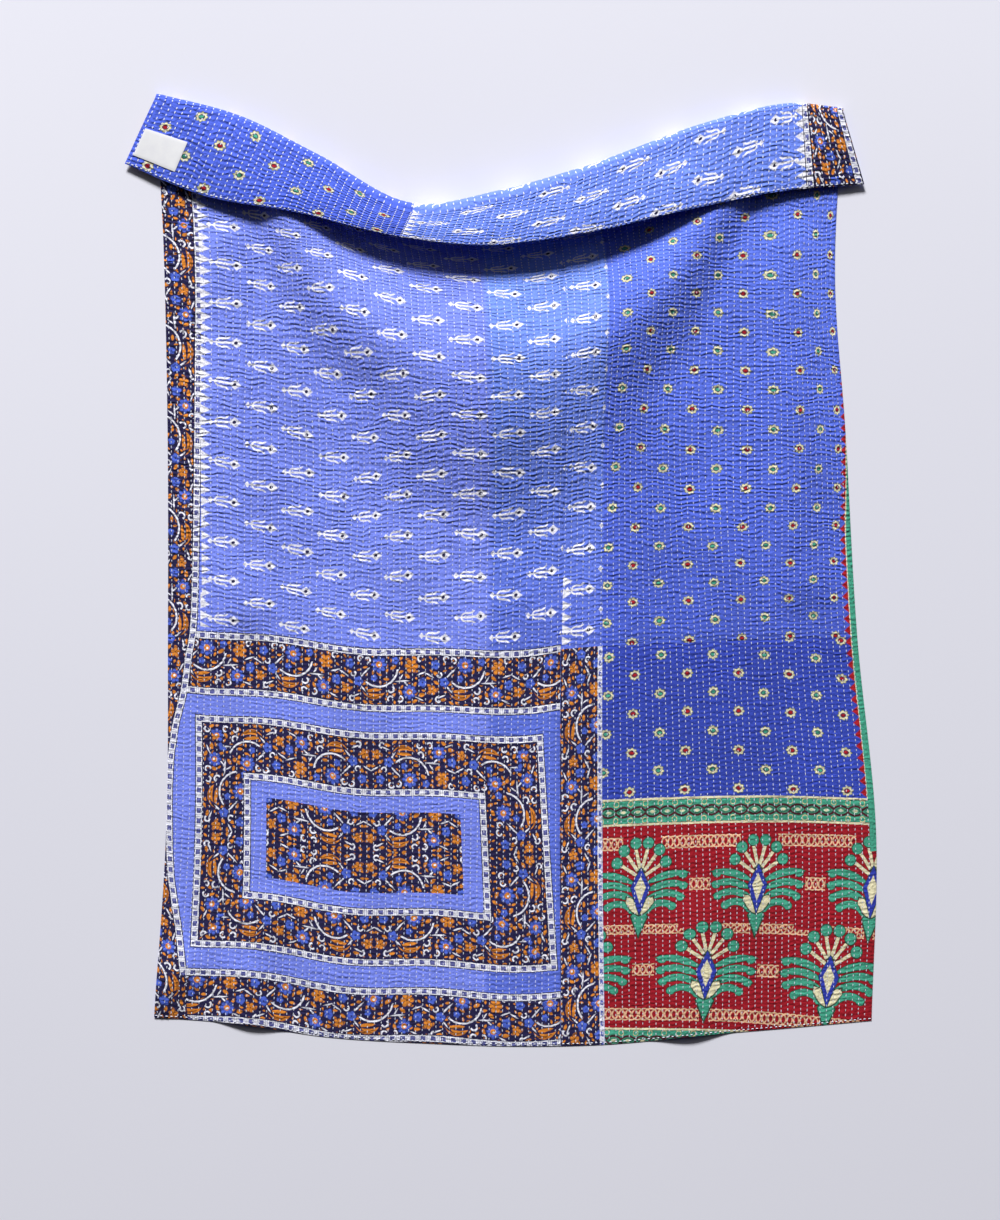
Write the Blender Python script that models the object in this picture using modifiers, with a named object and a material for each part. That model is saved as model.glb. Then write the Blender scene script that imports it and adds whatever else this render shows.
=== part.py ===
"""Kantha quilt, laid face up with its top end folded over towards the middle.

The cloth is one sheet. A point of it is named by u, its distance across from the left edge, and t, its
distance up from the bottom hem. Tables place rows of the cloth on the surface below, seen from above: +X is
to the right, +Y towards the fold, +Z up, and the origin is under the middle of the quilt.
Tables are in millimetres, and the meshes are in metres.
"""

import bmesh
import bpy
import numpy as np

# Driving sizes of the cloth, in millimetres
WIDTH = 1290.0
BODY_LENGTH = 1615.0
BEND_LENGTH = 40.0
FLAP_LENGTH = 125.0
SEAM_THICKNESS = 1.8
RIB_HEIGHT = 1.1
RIB_COUNT = 46
MILLIMETRE = 0.001

# Places across the cloth that the tables below give values for
COLUMNS = (0, 150, 300, 490, 640, 800, 1000, 1150, 1290)

# Rows of the body: how far up the cloth each lies, and its x at each of the columns
ROW_X = {
    "hem": (0, (-607, -458, -312, -124, 24, 180, 373, 515, 648)),
    "frames": (330, (-586, -443, -299, -117, 26, 176, 374, 520, 656)),
    "cross seam": (675, (-583, -439, -296, -116, 28, 176, 360, 496, 623)),
    "middle": (1050, (-584, -436, -289, -122, 37, 180, 342, 494, 602)),
    "swag": (1326, (-590, -434, -313, -131, 28, 187, 350, 489, 584)),
    "fold": (1615, (-602, -457, -320, -150, -2, 152, 352, 494, 598)),
}

# The same rows: their y at each of the columns
ROW_Y = {
    "hem": (-782, -794, -816, -828, -833, -830, -812, -800, -788),
    "frames": (-452, -464, -483, -495, -499, -494, -483, -472, -462),
    "cross seam": (-108, -122, -138, -150, -147, -135, -126, -121, -117),
    "middle": (268, 252, 233, 236, 238, 250, 247, 247, 248),
    "swag": (546, 532, 523, 492, 481, 502, 513, 513, 514),
    "fold": (833, 794, 726, 640, 663, 707, 780, 815, 808),
}

# Free edge of the flap at each of the columns: its x and y, its height, and the radius of the bend behind it
FLAP_X = (-658, -516, -366, -172, -23, 143, 345, 494, 635)
FLAP_Y = (710, 653, 625, 579, 565, 586, 632, 662, 674)
FLAP_HEIGHT = (10, 18, 34, 42, 46, 43, 34, 17, 10)
BEND_RADIUS = (8, 10, 14, 18, 19, 17, 12, 9, 8)
FLAP_CROWN = 3.0

# Crest of the swag that sags between the two top corners: x, y, height, and how far it falls off to the
# fold side and to the hem side
SWAG = (
    (-382, 648, 20, 65, 60),
    (-313, 499, 30, 105, 90),
    (-177, 385, 40, 150, 160),
    (-10, 346, 46, 200, 300),
    (156, 394, 40, 150, 170),
    (292, 508, 30, 105, 95),
    (387, 648, 20, 65, 60),
)
SWAG_STEPS = 240

# Low ridges: name, first end x and y, second end x and y, height, half width
RIDGES = (
    ("left side", -490, 560, -450, -60, 7, 70),
    ("right side", 506, 560, 530, -20, 8, 75),
    ("hem left", -439, -805, -420, -610, 8, 75),
    ("hem right", 331, -814, 345, -620, 8, 80),
    ("left corner", -600, -740, -560, -690, 7, 60),
)
RIDGE_FADE = 110.0

# Mesh rows along the cloth
PLAIN_ROWS = (0, 110, 220, 330, 500, 675, 790, 900, 985)
SWAG_ROWS = (1050, 1105, 1160, 1215, 1270, 1326, 1380, 1440, 1500, 1560, 1615)
BEND_STEPS = 5
FLAP_STEPS = 6

# Cloth patch sewn near the flap's left end: middle, size, thickness, and its height off the crests
LABEL_MIDDLE = (46.0, 1736.0)
LABEL_SIZE = (77.0, 50.0)
LABEL_THICKNESS = 1.0
LABEL_GAP = 0.4
LABEL_SEGMENTS = (7, 5)

COTTON_BLUE = (0.13, 0.20, 0.66, 1.0)
LABEL_WHITE = (0.85, 0.85, 0.82, 1.0)


def smooth(stations, values, at):
    """Cubic curve through the values at the stations, read at each place in at."""
    stations = np.asarray(stations, float)
    values = np.asarray(values, float)
    slopes = np.gradient(values, stations, axis=0)
    first = np.clip(np.searchsorted(stations, at, side="right") - 1, 0, len(stations) - 2)
    extra = (1,) * (values.ndim - 1)
    gap = (stations[first + 1] - stations[first]).reshape(np.shape(at) + extra)
    f = (at - stations[first]).reshape(np.shape(at) + extra) / gap
    start = values[first] * (1 + 2 * f) * (1 - f) ** 2 + slopes[first] * gap * f * (1 - f) ** 2
    end = values[first + 1] * f**2 * (3 - 2 * f) - slopes[first + 1] * gap * f**2 * (1 - f)
    return start + end


def ease(f):
    """Soft step from 0 to 1."""
    f = np.clip(f, 0, 1)
    return f * f * (3 - 2 * f)


def hill(distance, reach):
    """Rounded bump, 1 in its middle and exactly 0 beyond its reach."""
    return ease(1 - np.abs(distance) / reach)


def body_plan(u, t):
    """x and y, seen from above, where the lines u across and the lines t along the body cross."""
    stations = [length for length, _ in ROW_X.values()]
    x_rows = [smooth(COLUMNS, x, u) for _, x in ROW_X.values()]
    y_rows = [smooth(COLUMNS, ROW_Y[name], u) for name in ROW_X]
    return smooth(stations, x_rows, t), smooth(stations, y_rows, t)


def swag_height(x, y):
    """Height of the swag's curved ridge over each point."""
    along = np.linspace(0, len(SWAG) - 1, SWAG_STEPS)
    crest_x, crest_y, height, inner, outer = smooth(range(len(SWAG)), SWAG, along).T
    apart_x = x[..., None] - crest_x
    apart_y = y[..., None] - crest_y
    distance = np.hypot(apart_x, apart_y)
    side = np.gradient(crest_x) * apart_y - np.gradient(crest_y) * apart_x
    reach = np.where(side > 0, inner, outer)
    return (height * hill(distance, reach)).max(axis=-1)


def ridge_height(x, y):
    """Height of the low ridges over each point."""
    total = np.zeros_like(x)
    for _, x0, y0, x1, y1, height, half_width in RIDGES:
        length = np.hypot(x1 - x0, y1 - y0)
        f = np.clip(((x - x0) * (x1 - x0) + (y - y0) * (y1 - y0)) / length**2, 0, 1)
        distance = np.hypot(x - x0 - f * (x1 - x0), y - y0 - f * (y1 - y0))
        total += height * hill(distance, half_width)
    return total


def way_out(u):
    """Level direction across the fold line and away from the quilt, for each column."""
    along_x = np.gradient(smooth(COLUMNS, ROW_X["fold"][1], u))
    along_y = np.gradient(smooth(COLUMNS, ROW_Y["fold"], u))
    length = np.hypot(along_x, along_y)
    return -along_y / length, along_x / length


def body_point(u, t):
    """Underside of the cloth between the hem and the fold."""
    x, y = body_plan(u, t)
    out_x, out_y = way_out(u)
    before_bend = ease((t - ROW_X["swag"][0]) / (BODY_LENGTH - ROW_X["swag"][0]))[:, None]
    inward = smooth(COLUMNS, BEND_RADIUS, u) * before_bend
    fade = ease((BODY_LENGTH - t) / RIDGE_FADE)[:, None]
    z = fade * (swag_height(x, y) + ridge_height(x, y))
    return x - inward * out_x, y - inward * out_y, z


def flap_point(u, t):
    """Back of the cloth, which faces up on the flap, from the body's end round the bend to the free edge."""
    radius = smooth(COLUMNS, BEND_RADIUS, u)
    start_x, start_y, _ = body_point(u, np.array([BODY_LENGTH]))
    out_x, out_y = way_out(u)
    turn = np.clip((t - BODY_LENGTH) / BEND_LENGTH, 0, 1)[:, None] * np.pi
    f = np.clip((t - BODY_LENGTH - BEND_LENGTH) / FLAP_LENGTH, 0, 1)[:, None]
    x = start_x + out_x * radius * np.sin(turn) + f * (smooth(COLUMNS, FLAP_X, u) - start_x)
    y = start_y + out_y * radius * np.sin(turn) + f * (smooth(COLUMNS, FLAP_Y, u) - start_y)
    sunk = ease(f) * (2 * radius - smooth(COLUMNS, FLAP_HEIGHT, u))
    z = radius * (1 - np.cos(turn)) - sunk + FLAP_CROWN * np.sin(np.pi * f)
    return x, y, z


def cloth_points(u, t):
    """Points of the cloth's back, in millimetres, where the lines u and the lines t cross."""
    on_body = (t <= BODY_LENGTH)[:, None]
    body = body_point(u, np.minimum(t, BODY_LENGTH))
    flap = flap_point(u, np.maximum(t, BODY_LENGTH))
    return np.stack([np.where(on_body, a, b) for a, b in zip(body, flap)], axis=-1)


def rib(u):
    """Quilting relief: 0 in the stitched furrows and 1 on the crests between them."""
    return 1 - np.abs(2 * ((u / WIDTH * RIB_COUNT) % 1) - 1)


def grid_mesh(name, across, along):
    """A flat grid of faces, with the segments given, as a new object."""
    bm = bmesh.new()
    bmesh.ops.create_grid(bm, x_segments=across, y_segments=along, size=0.5)
    mesh = bpy.data.meshes.new(name)
    bm.to_mesh(mesh)
    bm.free()
    return bpy.data.objects.new(name, mesh)


def grid_fractions(obj):
    """How far across and along the grid each vertex lies, from 0 to 1."""
    places = np.empty(len(obj.data.vertices) * 3, np.float32)
    obj.data.vertices.foreach_get("co", places)
    places = places.reshape(-1, 3).astype(float) + 0.5
    return places[:, 0], places[:, 1]


def put_points(obj, points):
    obj.data.vertices.foreach_set("co", (points * MILLIMETRE).astype(np.float32).ravel())
    obj.data.update()


def thicken(obj, thickness):
    """Solidify the sheet inwards from its back, by its own thickness at each vertex."""
    group = obj.vertex_groups.new(name="thickness")
    most = float(thickness.max())
    for index, value in enumerate(thickness):
        group.add([index], float(value) / most, "REPLACE")
    solid = obj.modifiers.new("Thickness", "SOLIDIFY")
    solid.thickness = most * MILLIMETRE
    solid.offset = 1.0
    solid.vertex_group = group.name


def material(name, colour, roughness):
    made = bpy.data.materials.new(name)
    made.use_nodes = True
    shader = made.node_tree.nodes["Principled BSDF"]
    shader.inputs["Base Color"].default_value = colour
    shader.inputs["Roughness"].default_value = roughness
    shader.inputs["Metallic"].default_value = 0.0
    return made


def sheet_points(u_line, t_line):
    """Back of the cloth where the lines cross, and the way out of it there."""
    points = cloth_points(u_line, t_line)
    out = np.cross(np.gradient(points, axis=0), np.gradient(points, axis=1))
    out /= np.linalg.norm(out, axis=-1, keepdims=True)
    return points, out


def build_quilt(collection):
    t_line = np.concatenate([
        PLAIN_ROWS,
        SWAG_ROWS,
        BODY_LENGTH + BEND_LENGTH * np.arange(1, BEND_STEPS + 1) / BEND_STEPS,
        BODY_LENGTH + BEND_LENGTH + FLAP_LENGTH * np.arange(1, FLAP_STEPS + 1) / FLAP_STEPS,
    ])
    u_line = np.linspace(0, WIDTH, 2 * RIB_COUNT + 1)
    points, out = sheet_points(u_line, t_line)
    relief = RIB_HEIGHT * rib(u_line) * np.ones((len(t_line), 1))
    on_flap = ease((t_line - BODY_LENGTH) / BEND_LENGTH)[:, None]
    points = points + out * (relief * on_flap)[..., None]

    quilt = grid_mesh("quilt", len(u_line) - 1, len(t_line) - 1)
    across, along = grid_fractions(quilt)
    column = np.rint(across * (len(u_line) - 1)).astype(int)
    row = np.rint(along * (len(t_line) - 1)).astype(int)
    put_points(quilt, points[row, column])
    thicken(quilt, SEAM_THICKNESS + relief[row, column])
    quilt.data.materials.append(material("Blue quilted cotton", COTTON_BLUE, 0.9))
    collection.objects.link(quilt)


def build_label(collection):
    label = grid_mesh("label", *LABEL_SEGMENTS)
    across, along = grid_fractions(label)
    u_line = np.linspace(0, WIDTH, 2 * RIB_COUNT + 1)
    t_line = LABEL_MIDDLE[1] + LABEL_SIZE[1] * (np.linspace(0, 1, LABEL_SEGMENTS[1] + 1) - 0.5)
    points, out = sheet_points(u_line, t_line)
    points = points + out * (RIB_HEIGHT + LABEL_GAP + LABEL_THICKNESS)
    row = np.rint(along * LABEL_SEGMENTS[1]).astype(int)
    u = LABEL_MIDDLE[0] + LABEL_SIZE[0] * (across - 0.5)
    placed = [np.interp(u, u_line, points[r, :, k]) for r in range(len(t_line)) for k in range(3)]
    placed = np.array(placed).reshape(len(t_line), 3, -1)
    put_points(label, placed[row, :, np.arange(len(row))])
    thicken(label, np.full(len(row), LABEL_THICKNESS))
    label.data.materials.append(material("White woven cotton", LABEL_WHITE, 0.8))
    collection.objects.link(label)


for old in list(bpy.data.objects):
    bpy.data.objects.remove(old, do_unlink=True)
kantha_quilt = bpy.data.collections.new("Kantha quilt")
bpy.context.scene.collection.children.link(kantha_quilt)
build_quilt(kantha_quilt)
build_label(kantha_quilt)
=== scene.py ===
"""Looks of the kantha quilt: printed cotton patches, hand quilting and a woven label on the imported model.

Points of the cloth are named as in the solids: u is the distance across from the left edge and t the distance
up from the bottom hem, both in millimetres along the cloth. Meshes are in metres.
"""

import bmesh
import bpy
import numpy as np
from mathutils import Matrix


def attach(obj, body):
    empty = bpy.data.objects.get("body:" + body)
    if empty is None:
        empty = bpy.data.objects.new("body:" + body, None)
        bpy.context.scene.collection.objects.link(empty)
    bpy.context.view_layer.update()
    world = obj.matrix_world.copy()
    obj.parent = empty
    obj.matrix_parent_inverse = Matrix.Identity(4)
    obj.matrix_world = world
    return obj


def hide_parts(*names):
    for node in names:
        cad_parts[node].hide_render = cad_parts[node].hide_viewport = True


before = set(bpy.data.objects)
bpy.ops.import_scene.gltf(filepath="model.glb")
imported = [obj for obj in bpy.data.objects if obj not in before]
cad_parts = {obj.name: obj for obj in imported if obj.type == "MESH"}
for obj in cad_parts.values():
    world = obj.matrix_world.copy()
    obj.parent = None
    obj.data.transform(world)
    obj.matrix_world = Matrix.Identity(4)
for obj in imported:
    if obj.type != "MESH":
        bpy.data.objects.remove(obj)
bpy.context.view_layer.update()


# Camera
# It looks straight down on the quilt, with the folded end at the top of the picture.
# A long lens far away keeps the raised flap at nearly the scale of the cloth below it.

FRAME_HEIGHT = 2.135
CAMERA_HEIGHT = 8.0
camera_data = bpy.data.cameras.new("Camera above")
camera_data.sensor_width = 36.0
camera_data.lens = 36.0 * CAMERA_HEIGHT / FRAME_HEIGHT
camera_data.clip_end = 60.0
camera = bpy.data.objects.new("Camera above", camera_data)
camera.location = (-0.002, -0.070, CAMERA_HEIGHT)
bpy.context.scene.collection.objects.link(camera)
bpy.context.scene.camera = camera
bpy.context.scene.view_settings.view_transform = "Standard"


# Floor and light
# A pale lilac-grey studio floor. One large soft lamp stands beyond the folded end and throws the flap's
# shadow down the quilt, and a pale surround, brighter on the lamp's side, fills the rest.

def linear(code):
    """Linear colour of an sRGB hex value such as E9E9F2."""
    parts = [int(code[k:k + 2], 16) / 255 for k in (0, 2, 4)]
    return [c / 12.92 if c <= 0.04045 else ((c + 0.055) / 1.055) ** 2.4 for c in parts] + [1.0]


def add(tree, kind, *inputs, **settings):
    """A new node with its settings. Each input is a value or the socket that feeds it; None is left alone."""
    node = tree.nodes.new("ShaderNode" + kind)
    for name, value in settings.items():
        setattr(node, name, value)
    sockets = [socket for socket in node.inputs if socket.enabled]
    for socket, value in zip(sockets, inputs):
        if isinstance(value, bpy.types.NodeSocket):
            tree.links.new(value, socket)
        elif value is not None:
            socket.default_value = value
    return next(socket for socket in node.outputs if socket.enabled)


def matte(name, roughness, specular):
    """A new material, its node tree and its shader."""
    made = bpy.data.materials.new(name)
    made.use_nodes = True
    shader = made.node_tree.nodes["Principled BSDF"]
    shader.inputs["Roughness"].default_value = roughness
    shader.inputs["Specular IOR Level"].default_value = specular
    return made, made.node_tree, shader


FLOOR_SIDE = 16.0
floor_shape = bmesh.new()
bmesh.ops.create_grid(floor_shape, x_segments=8, y_segments=8, size=FLOOR_SIDE / 2)
floor_mesh = bpy.data.meshes.new("Studio floor")
floor_shape.to_mesh(floor_mesh)
floor_shape.free()
floor = bpy.data.objects.new("Studio_floor", floor_mesh)
bpy.context.scene.collection.objects.link(floor)

# Matte floor paint, a little cloudy where the roller overlapped
floor_paint, floor_tree, floor_shader = matte("Matte studio paint", 0.9, 0.2)
floor_place = floor_tree.nodes.new("ShaderNodeTexCoord").outputs["Object"]
floor_cloud = add(floor_tree, "TexNoise", floor_place, 0.4, 2.0, 0.5)
floor_tone = add(floor_tree, "Mix", floor_cloud, linear("DFDFEA"), linear("E9E9F2"), data_type="RGBA")
floor_tree.links.new(floor_tone, floor_shader.inputs["Base Color"])
floor_mesh.materials.append(floor_paint)

LAMP_PLACE = (-2.6, 14.0, 9.2)
LAMP_SIDE = 3.4
LAMP_POWER = 4440.0
lamp_data = bpy.data.lights.new("Soft lamp", "AREA")
lamp_data.size = LAMP_SIDE
lamp_data.energy = LAMP_POWER
lamp = bpy.data.objects.new("Soft lamp", lamp_data)
lamp.location = LAMP_PLACE
lamp_aim = bpy.data.objects.new("Lamp aim", None)
lamp_track = lamp.constraints.new("TRACK_TO")
lamp_track.target = lamp_aim
lamp_track.track_axis = "TRACK_NEGATIVE_Z"
lamp_track.up_axis = "UP_Y"
for placed in (lamp, lamp_aim):
    bpy.context.scene.collection.objects.link(placed)

studio = bpy.data.worlds.new("Pale studio")
bpy.context.scene.world = studio
studio.use_nodes = True
studio_tree = studio.node_tree
studio_tree.nodes["Background"].inputs["Color"].default_value = linear("F4F4FC")
way = add(studio_tree, "TexCoord").node.outputs["Generated"]
beyond_fold = add(studio_tree, "SeparateXYZ", way).node.outputs[1]
strength = add(studio_tree, "MapRange", beyond_fold, 0.05, 1.0, 0.01, 0.5)
studio_tree.links.new(strength, studio_tree.nodes["Background"].inputs["Strength"])


# Large left patch of the face
# One length of printed cotton sari: a lilac-blue field of small white motifs that ends in floral bands and
# frames. It lies over the other layers, its edges are turned in, and the quilting rows run through all of it.

WIDTH = 1290.0
BODY_LENGTH = 1615.0
BEND_LENGTH = 40.0
FLAP_LENGTH = 125.0
CLOTH_LENGTH = BODY_LENGTH + BEND_LENGTH + FLAP_LENGTH
MILLIMETRE = 0.001

# Rows of the cloth as it lies: how far up the cloth, and the x and y of each at the columns
COLUMNS = (0, 150, 300, 490, 640, 800, 1000, 1150, 1290)
ROWS = (0, 330, 675, 1050, 1326, 1615)
ROW_X = (
    (-607, -458, -312, -124, 24, 180, 373, 515, 648),
    (-586, -443, -299, -117, 26, 176, 374, 520, 656),
    (-583, -439, -296, -116, 28, 176, 360, 496, 623),
    (-584, -436, -289, -122, 37, 180, 342, 494, 602),
    (-590, -434, -313, -131, 28, 187, 350, 489, 584),
    (-602, -457, -320, -150, -2, 152, 352, 494, 598),
)
ROW_Y = (
    (-782, -794, -816, -828, -833, -830, -812, -800, -788),
    (-452, -464, -483, -495, -499, -494, -483, -472, -462),
    (-108, -122, -138, -150, -147, -135, -126, -121, -117),
    (268, 252, 233, 236, 238, 250, 247, 247, 248),
    (546, 532, 523, 492, 481, 502, 513, 513, 514),
    (833, 794, 726, 640, 663, 707, 780, 815, 808),
)
FLAP_X = (-658, -516, -366, -172, -23, 143, 345, 494, 635)
FLAP_Y = (710, 653, 625, 579, 565, 586, 632, 662, 674)
FLAP_HEIGHT = (10, 18, 34, 42, 46, 43, 34, 17, 10)
BEND_RADIUS = (8, 10, 14, 18, 19, 17, 12, 9, 8)
FLAP_CROWN = 3.0

# Crest of the swag: x, y, height, and how far it falls off to the fold side and to the hem side
SWAG = (
    (-382, 648, 20, 65, 60),
    (-313, 499, 30, 105, 90),
    (-177, 385, 40, 150, 160),
    (-10, 346, 46, 200, 300),
    (156, 394, 40, 150, 170),
    (292, 508, 30, 105, 95),
    (387, 648, 20, 65, 60),
)
SWAG_STEPS = 240

# Low ridges: first end x and y, second end x and y, height, half width
RIDGES = (
    (-490, 560, -450, -60, 7, 70),
    (506, 560, 530, -20, 8, 75),
    (-439, -805, -420, -610, 8, 75),
    (331, -814, 345, -620, 8, 80),
    (-600, -740, -560, -690, 7, 60),
)
RIDGE_FADE = 110.0


def smooth(stations, values, at):
    """Cubic curve through the values at the stations, read at each place in at."""
    stations = np.asarray(stations, float)
    values = np.asarray(values, float)
    slopes = np.gradient(values, stations, axis=0)
    first = np.clip(np.searchsorted(stations, at, side="right") - 1, 0, len(stations) - 2)
    extra = (1,) * (values.ndim - 1)
    gap = (stations[first + 1] - stations[first]).reshape(np.shape(at) + extra)
    f = (at - stations[first]).reshape(np.shape(at) + extra) / gap
    start = values[first] * (1 + 2 * f) * (1 - f) ** 2 + slopes[first] * gap * f * (1 - f) ** 2
    end = values[first + 1] * f**2 * (3 - 2 * f) - slopes[first + 1] * gap * f**2 * (1 - f)
    return start + end


def ease(f):
    """Soft step from 0 to 1."""
    f = np.clip(f, 0, 1)
    return f * f * (3 - 2 * f)


def hill(distance, reach):
    """Rounded bump, 1 in its middle and exactly 0 beyond its reach."""
    return ease(1 - np.abs(distance) / reach)


def soft_folds(x, y):
    """Height of the swag and the low ridges over each point of the surface below."""
    along = np.linspace(0, len(SWAG) - 1, SWAG_STEPS)
    crest_x, crest_y, height, inner, outer = smooth(range(len(SWAG)), SWAG, along).T
    apart_x = x[..., None] - crest_x
    apart_y = y[..., None] - crest_y
    side = np.gradient(crest_x) * apart_y - np.gradient(crest_y) * apart_x
    reach = np.where(side > 0, inner, outer)
    total = (height * hill(np.hypot(apart_x, apart_y), reach)).max(axis=-1)
    for x0, y0, x1, y1, ridge, half_width in RIDGES:
        length = np.hypot(x1 - x0, y1 - y0)
        f = np.clip(((x - x0) * (x1 - x0) + (y - y0) * (y1 - y0)) / length**2, 0, 1)
        distance = np.hypot(x - x0 - f * (x1 - x0), y - y0 - f * (y1 - y0))
        total += ridge * hill(distance, half_width)
    return total


def way_out(u):
    """Level direction across the fold line and away from the quilt, for each column."""
    along_x = np.gradient(smooth(COLUMNS, ROW_X[-1], u))
    along_y = np.gradient(smooth(COLUMNS, ROW_Y[-1], u))
    length = np.hypot(along_x, along_y)
    return -along_y / length, along_x / length


def body_point(u, t):
    """Underside of the cloth between the hem and the fold."""
    x = smooth(ROWS, [smooth(COLUMNS, row, u) for row in ROW_X], t)
    y = smooth(ROWS, [smooth(COLUMNS, row, u) for row in ROW_Y], t)
    out_x, out_y = way_out(u)
    inward = smooth(COLUMNS, BEND_RADIUS, u) * ease((t - ROWS[-2]) / (ROWS[-1] - ROWS[-2]))[:, None]
    z = ease((BODY_LENGTH - t) / RIDGE_FADE)[:, None] * soft_folds(x, y)
    return x - inward * out_x, y - inward * out_y, z


def flap_point(u, t):
    """Back of the cloth, which faces up on the flap, from the body's end round the bend to the free edge."""
    radius = smooth(COLUMNS, BEND_RADIUS, u)
    start_x, start_y, _ = body_point(u, np.array([BODY_LENGTH]))
    out_x, out_y = way_out(u)
    turn = np.clip((t - BODY_LENGTH) / BEND_LENGTH, 0, 1)[:, None] * np.pi
    f = np.clip((t - BODY_LENGTH - BEND_LENGTH) / FLAP_LENGTH, 0, 1)[:, None]
    x = start_x + out_x * radius * np.sin(turn) + f * (smooth(COLUMNS, FLAP_X, u) - start_x)
    y = start_y + out_y * radius * np.sin(turn) + f * (smooth(COLUMNS, FLAP_Y, u) - start_y)
    sunk = ease(f) * (2 * radius - smooth(COLUMNS, FLAP_HEIGHT, u))
    z = radius * (1 - np.cos(turn)) - sunk + FLAP_CROWN * np.sin(np.pi * f)
    return x, y, z


# A fine lattice of the cloth's back, with the way into the cloth at each of its points
LATTICE_U = np.linspace(0, WIDTH, 216)
LATTICE_T = np.linspace(0, CLOTH_LENGTH, 713)
lattice_body = body_point(LATTICE_U, np.minimum(LATTICE_T, BODY_LENGTH))
lattice_flap = flap_point(LATTICE_U, np.maximum(LATTICE_T, BODY_LENGTH))
lattice_on_body = (LATTICE_T <= BODY_LENGTH)[:, None]
LATTICE = np.stack([np.where(lattice_on_body, a, b) for a, b in zip(lattice_body, lattice_flap)], axis=-1)
INTO = np.cross(np.gradient(LATTICE, axis=1), np.gradient(LATTICE, axis=0))
INTO /= np.linalg.norm(INTO, axis=-1, keepdims=True)


def lay(u, t, height):
    """Places in metres of points of the cloth, each at a height into it from its back."""
    column = np.clip(u / LATTICE_U[1], 0, len(LATTICE_U) - 1.001)
    row = np.clip(t / LATTICE_T[1], 0, len(LATTICE_T) - 1.001)
    j, i = column.astype(int), row.astype(int)
    across, up = (column - j)[:, None], (row - i)[:, None]
    both = np.concatenate([LATTICE, INTO], axis=-1)
    lower = both[i, j] * (1 - across) + both[i, j + 1] * across
    upper = both[i + 1, j] * (1 - across) + both[i + 1, j + 1] * across
    read = lower * (1 - up) + upper * up
    return (read[:, :3] + read[:, 3:] * height[:, None]) * MILLIMETRE


# Quilting rows: their pitch, the length of a stitch with the gap after it, and how far they stray. The pitches
# are estimates. The height of the relief follows, and the heights of the top and the underside of the face.
ROW_PITCH = 12.0
STITCH_PITCH = 8.6
ROW_WANDER = 1.6
QUILT_RELIEF = 1.1
FACE_TOP = 1.8
FACE_BOTTOM = 1.0


def wander(u, t):
    """How far a hand-guided quilting row strays sideways at each place, in millimetres."""
    slow = np.sin(t / 171 + u / 97) + 0.6 * np.sin(t / 67 - u / 53 + 1.3)
    return ROW_WANDER * slow / 1.6


def puff(u, t):
    """Quilting relief: 0 in the stitched furrows and 1 between them."""
    return np.abs(np.sin(np.pi * ((u + wander(u, t)) / ROW_PITCH - 0.5)))


def edge_rise(u, t, area, turned=5.0):
    """0 at the edges of a patch and 1 from its turned-in seam inwards."""
    left, right, low, high = area
    inside = np.minimum(np.minimum(u - left, right - u), np.minimum(t - low, high - t))
    return ease(inside / turned)


def flat_patch(name, u_line, t_line):
    """A closed flat sheet over the lines u and t, and the u, t and side (0 under, 1 top) of its points."""
    shape = bmesh.new()
    bmesh.ops.create_grid(shape, x_segments=len(u_line) - 1, y_segments=len(t_line) - 1, size=0.5)
    copied = bmesh.ops.extrude_face_region(shape, geom=shape.faces[:])
    raised = [item for item in copied["geom"] if isinstance(item, bmesh.types.BMVert)]
    bmesh.ops.translate(shape, verts=raised, vec=(0, 0, 1))
    bmesh.ops.recalc_face_normals(shape, faces=shape.faces[:])
    mesh = bpy.data.meshes.new(name)
    shape.to_mesh(mesh)
    shape.free()
    patch = bpy.data.objects.new(name, mesh)
    bpy.context.scene.collection.objects.link(patch)
    places = np.empty(len(mesh.vertices) * 3, np.float32)
    mesh.vertices.foreach_get("co", places)
    places = places.reshape(-1, 3).astype(float)
    u = u_line[np.rint((places[:, 0] + 0.5) * (len(u_line) - 1)).astype(int)]
    t = t_line[np.rint((places[:, 1] + 0.5) * (len(t_line) - 1)).astype(int)]
    return patch, u, t, places[:, 2]


def set_cloth(piece, u, t, height):
    """Lays a flat piece on the quilt and keeps u and t on its points for its print."""
    mesh = piece.data
    mesh.vertices.foreach_set("co", lay(u, t, height).astype(np.float32).ravel())
    cloth = mesh.attributes.new("cloth", "FLOAT_VECTOR", "POINT")
    cloth.data.foreach_set("vector", np.stack([u, t, height], axis=-1).astype(np.float32).ravel())
    mesh.shade_smooth()
    mesh.set_sharp_from_angle(angle=0.9)
    mesh.update()


def steps(low, high, step):
    """Evenly spaced values from low to high, about a step apart."""
    return np.linspace(low, high, int(round((high - low) / step)) + 1)


def row_lines(left, right, step):
    """Lines across the cloth: both edges, and a step apart between them with one in each quilting furrow."""
    start = ROW_PITCH / 2 % step
    first = np.ceil((left + 1 - start) / step)
    last = np.floor((right - 1 - start) / step)
    return np.concatenate([[left], start + step * np.arange(first, last + 1), [right]])


def follow(u, t, area):
    """Moves points sideways with the wandering quilting rows, but not at the edges of their patch."""
    left, right, low, high = area
    return u - wander(u, t) * ease(np.minimum(u - left, right - u) / ROW_PITCH)


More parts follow.
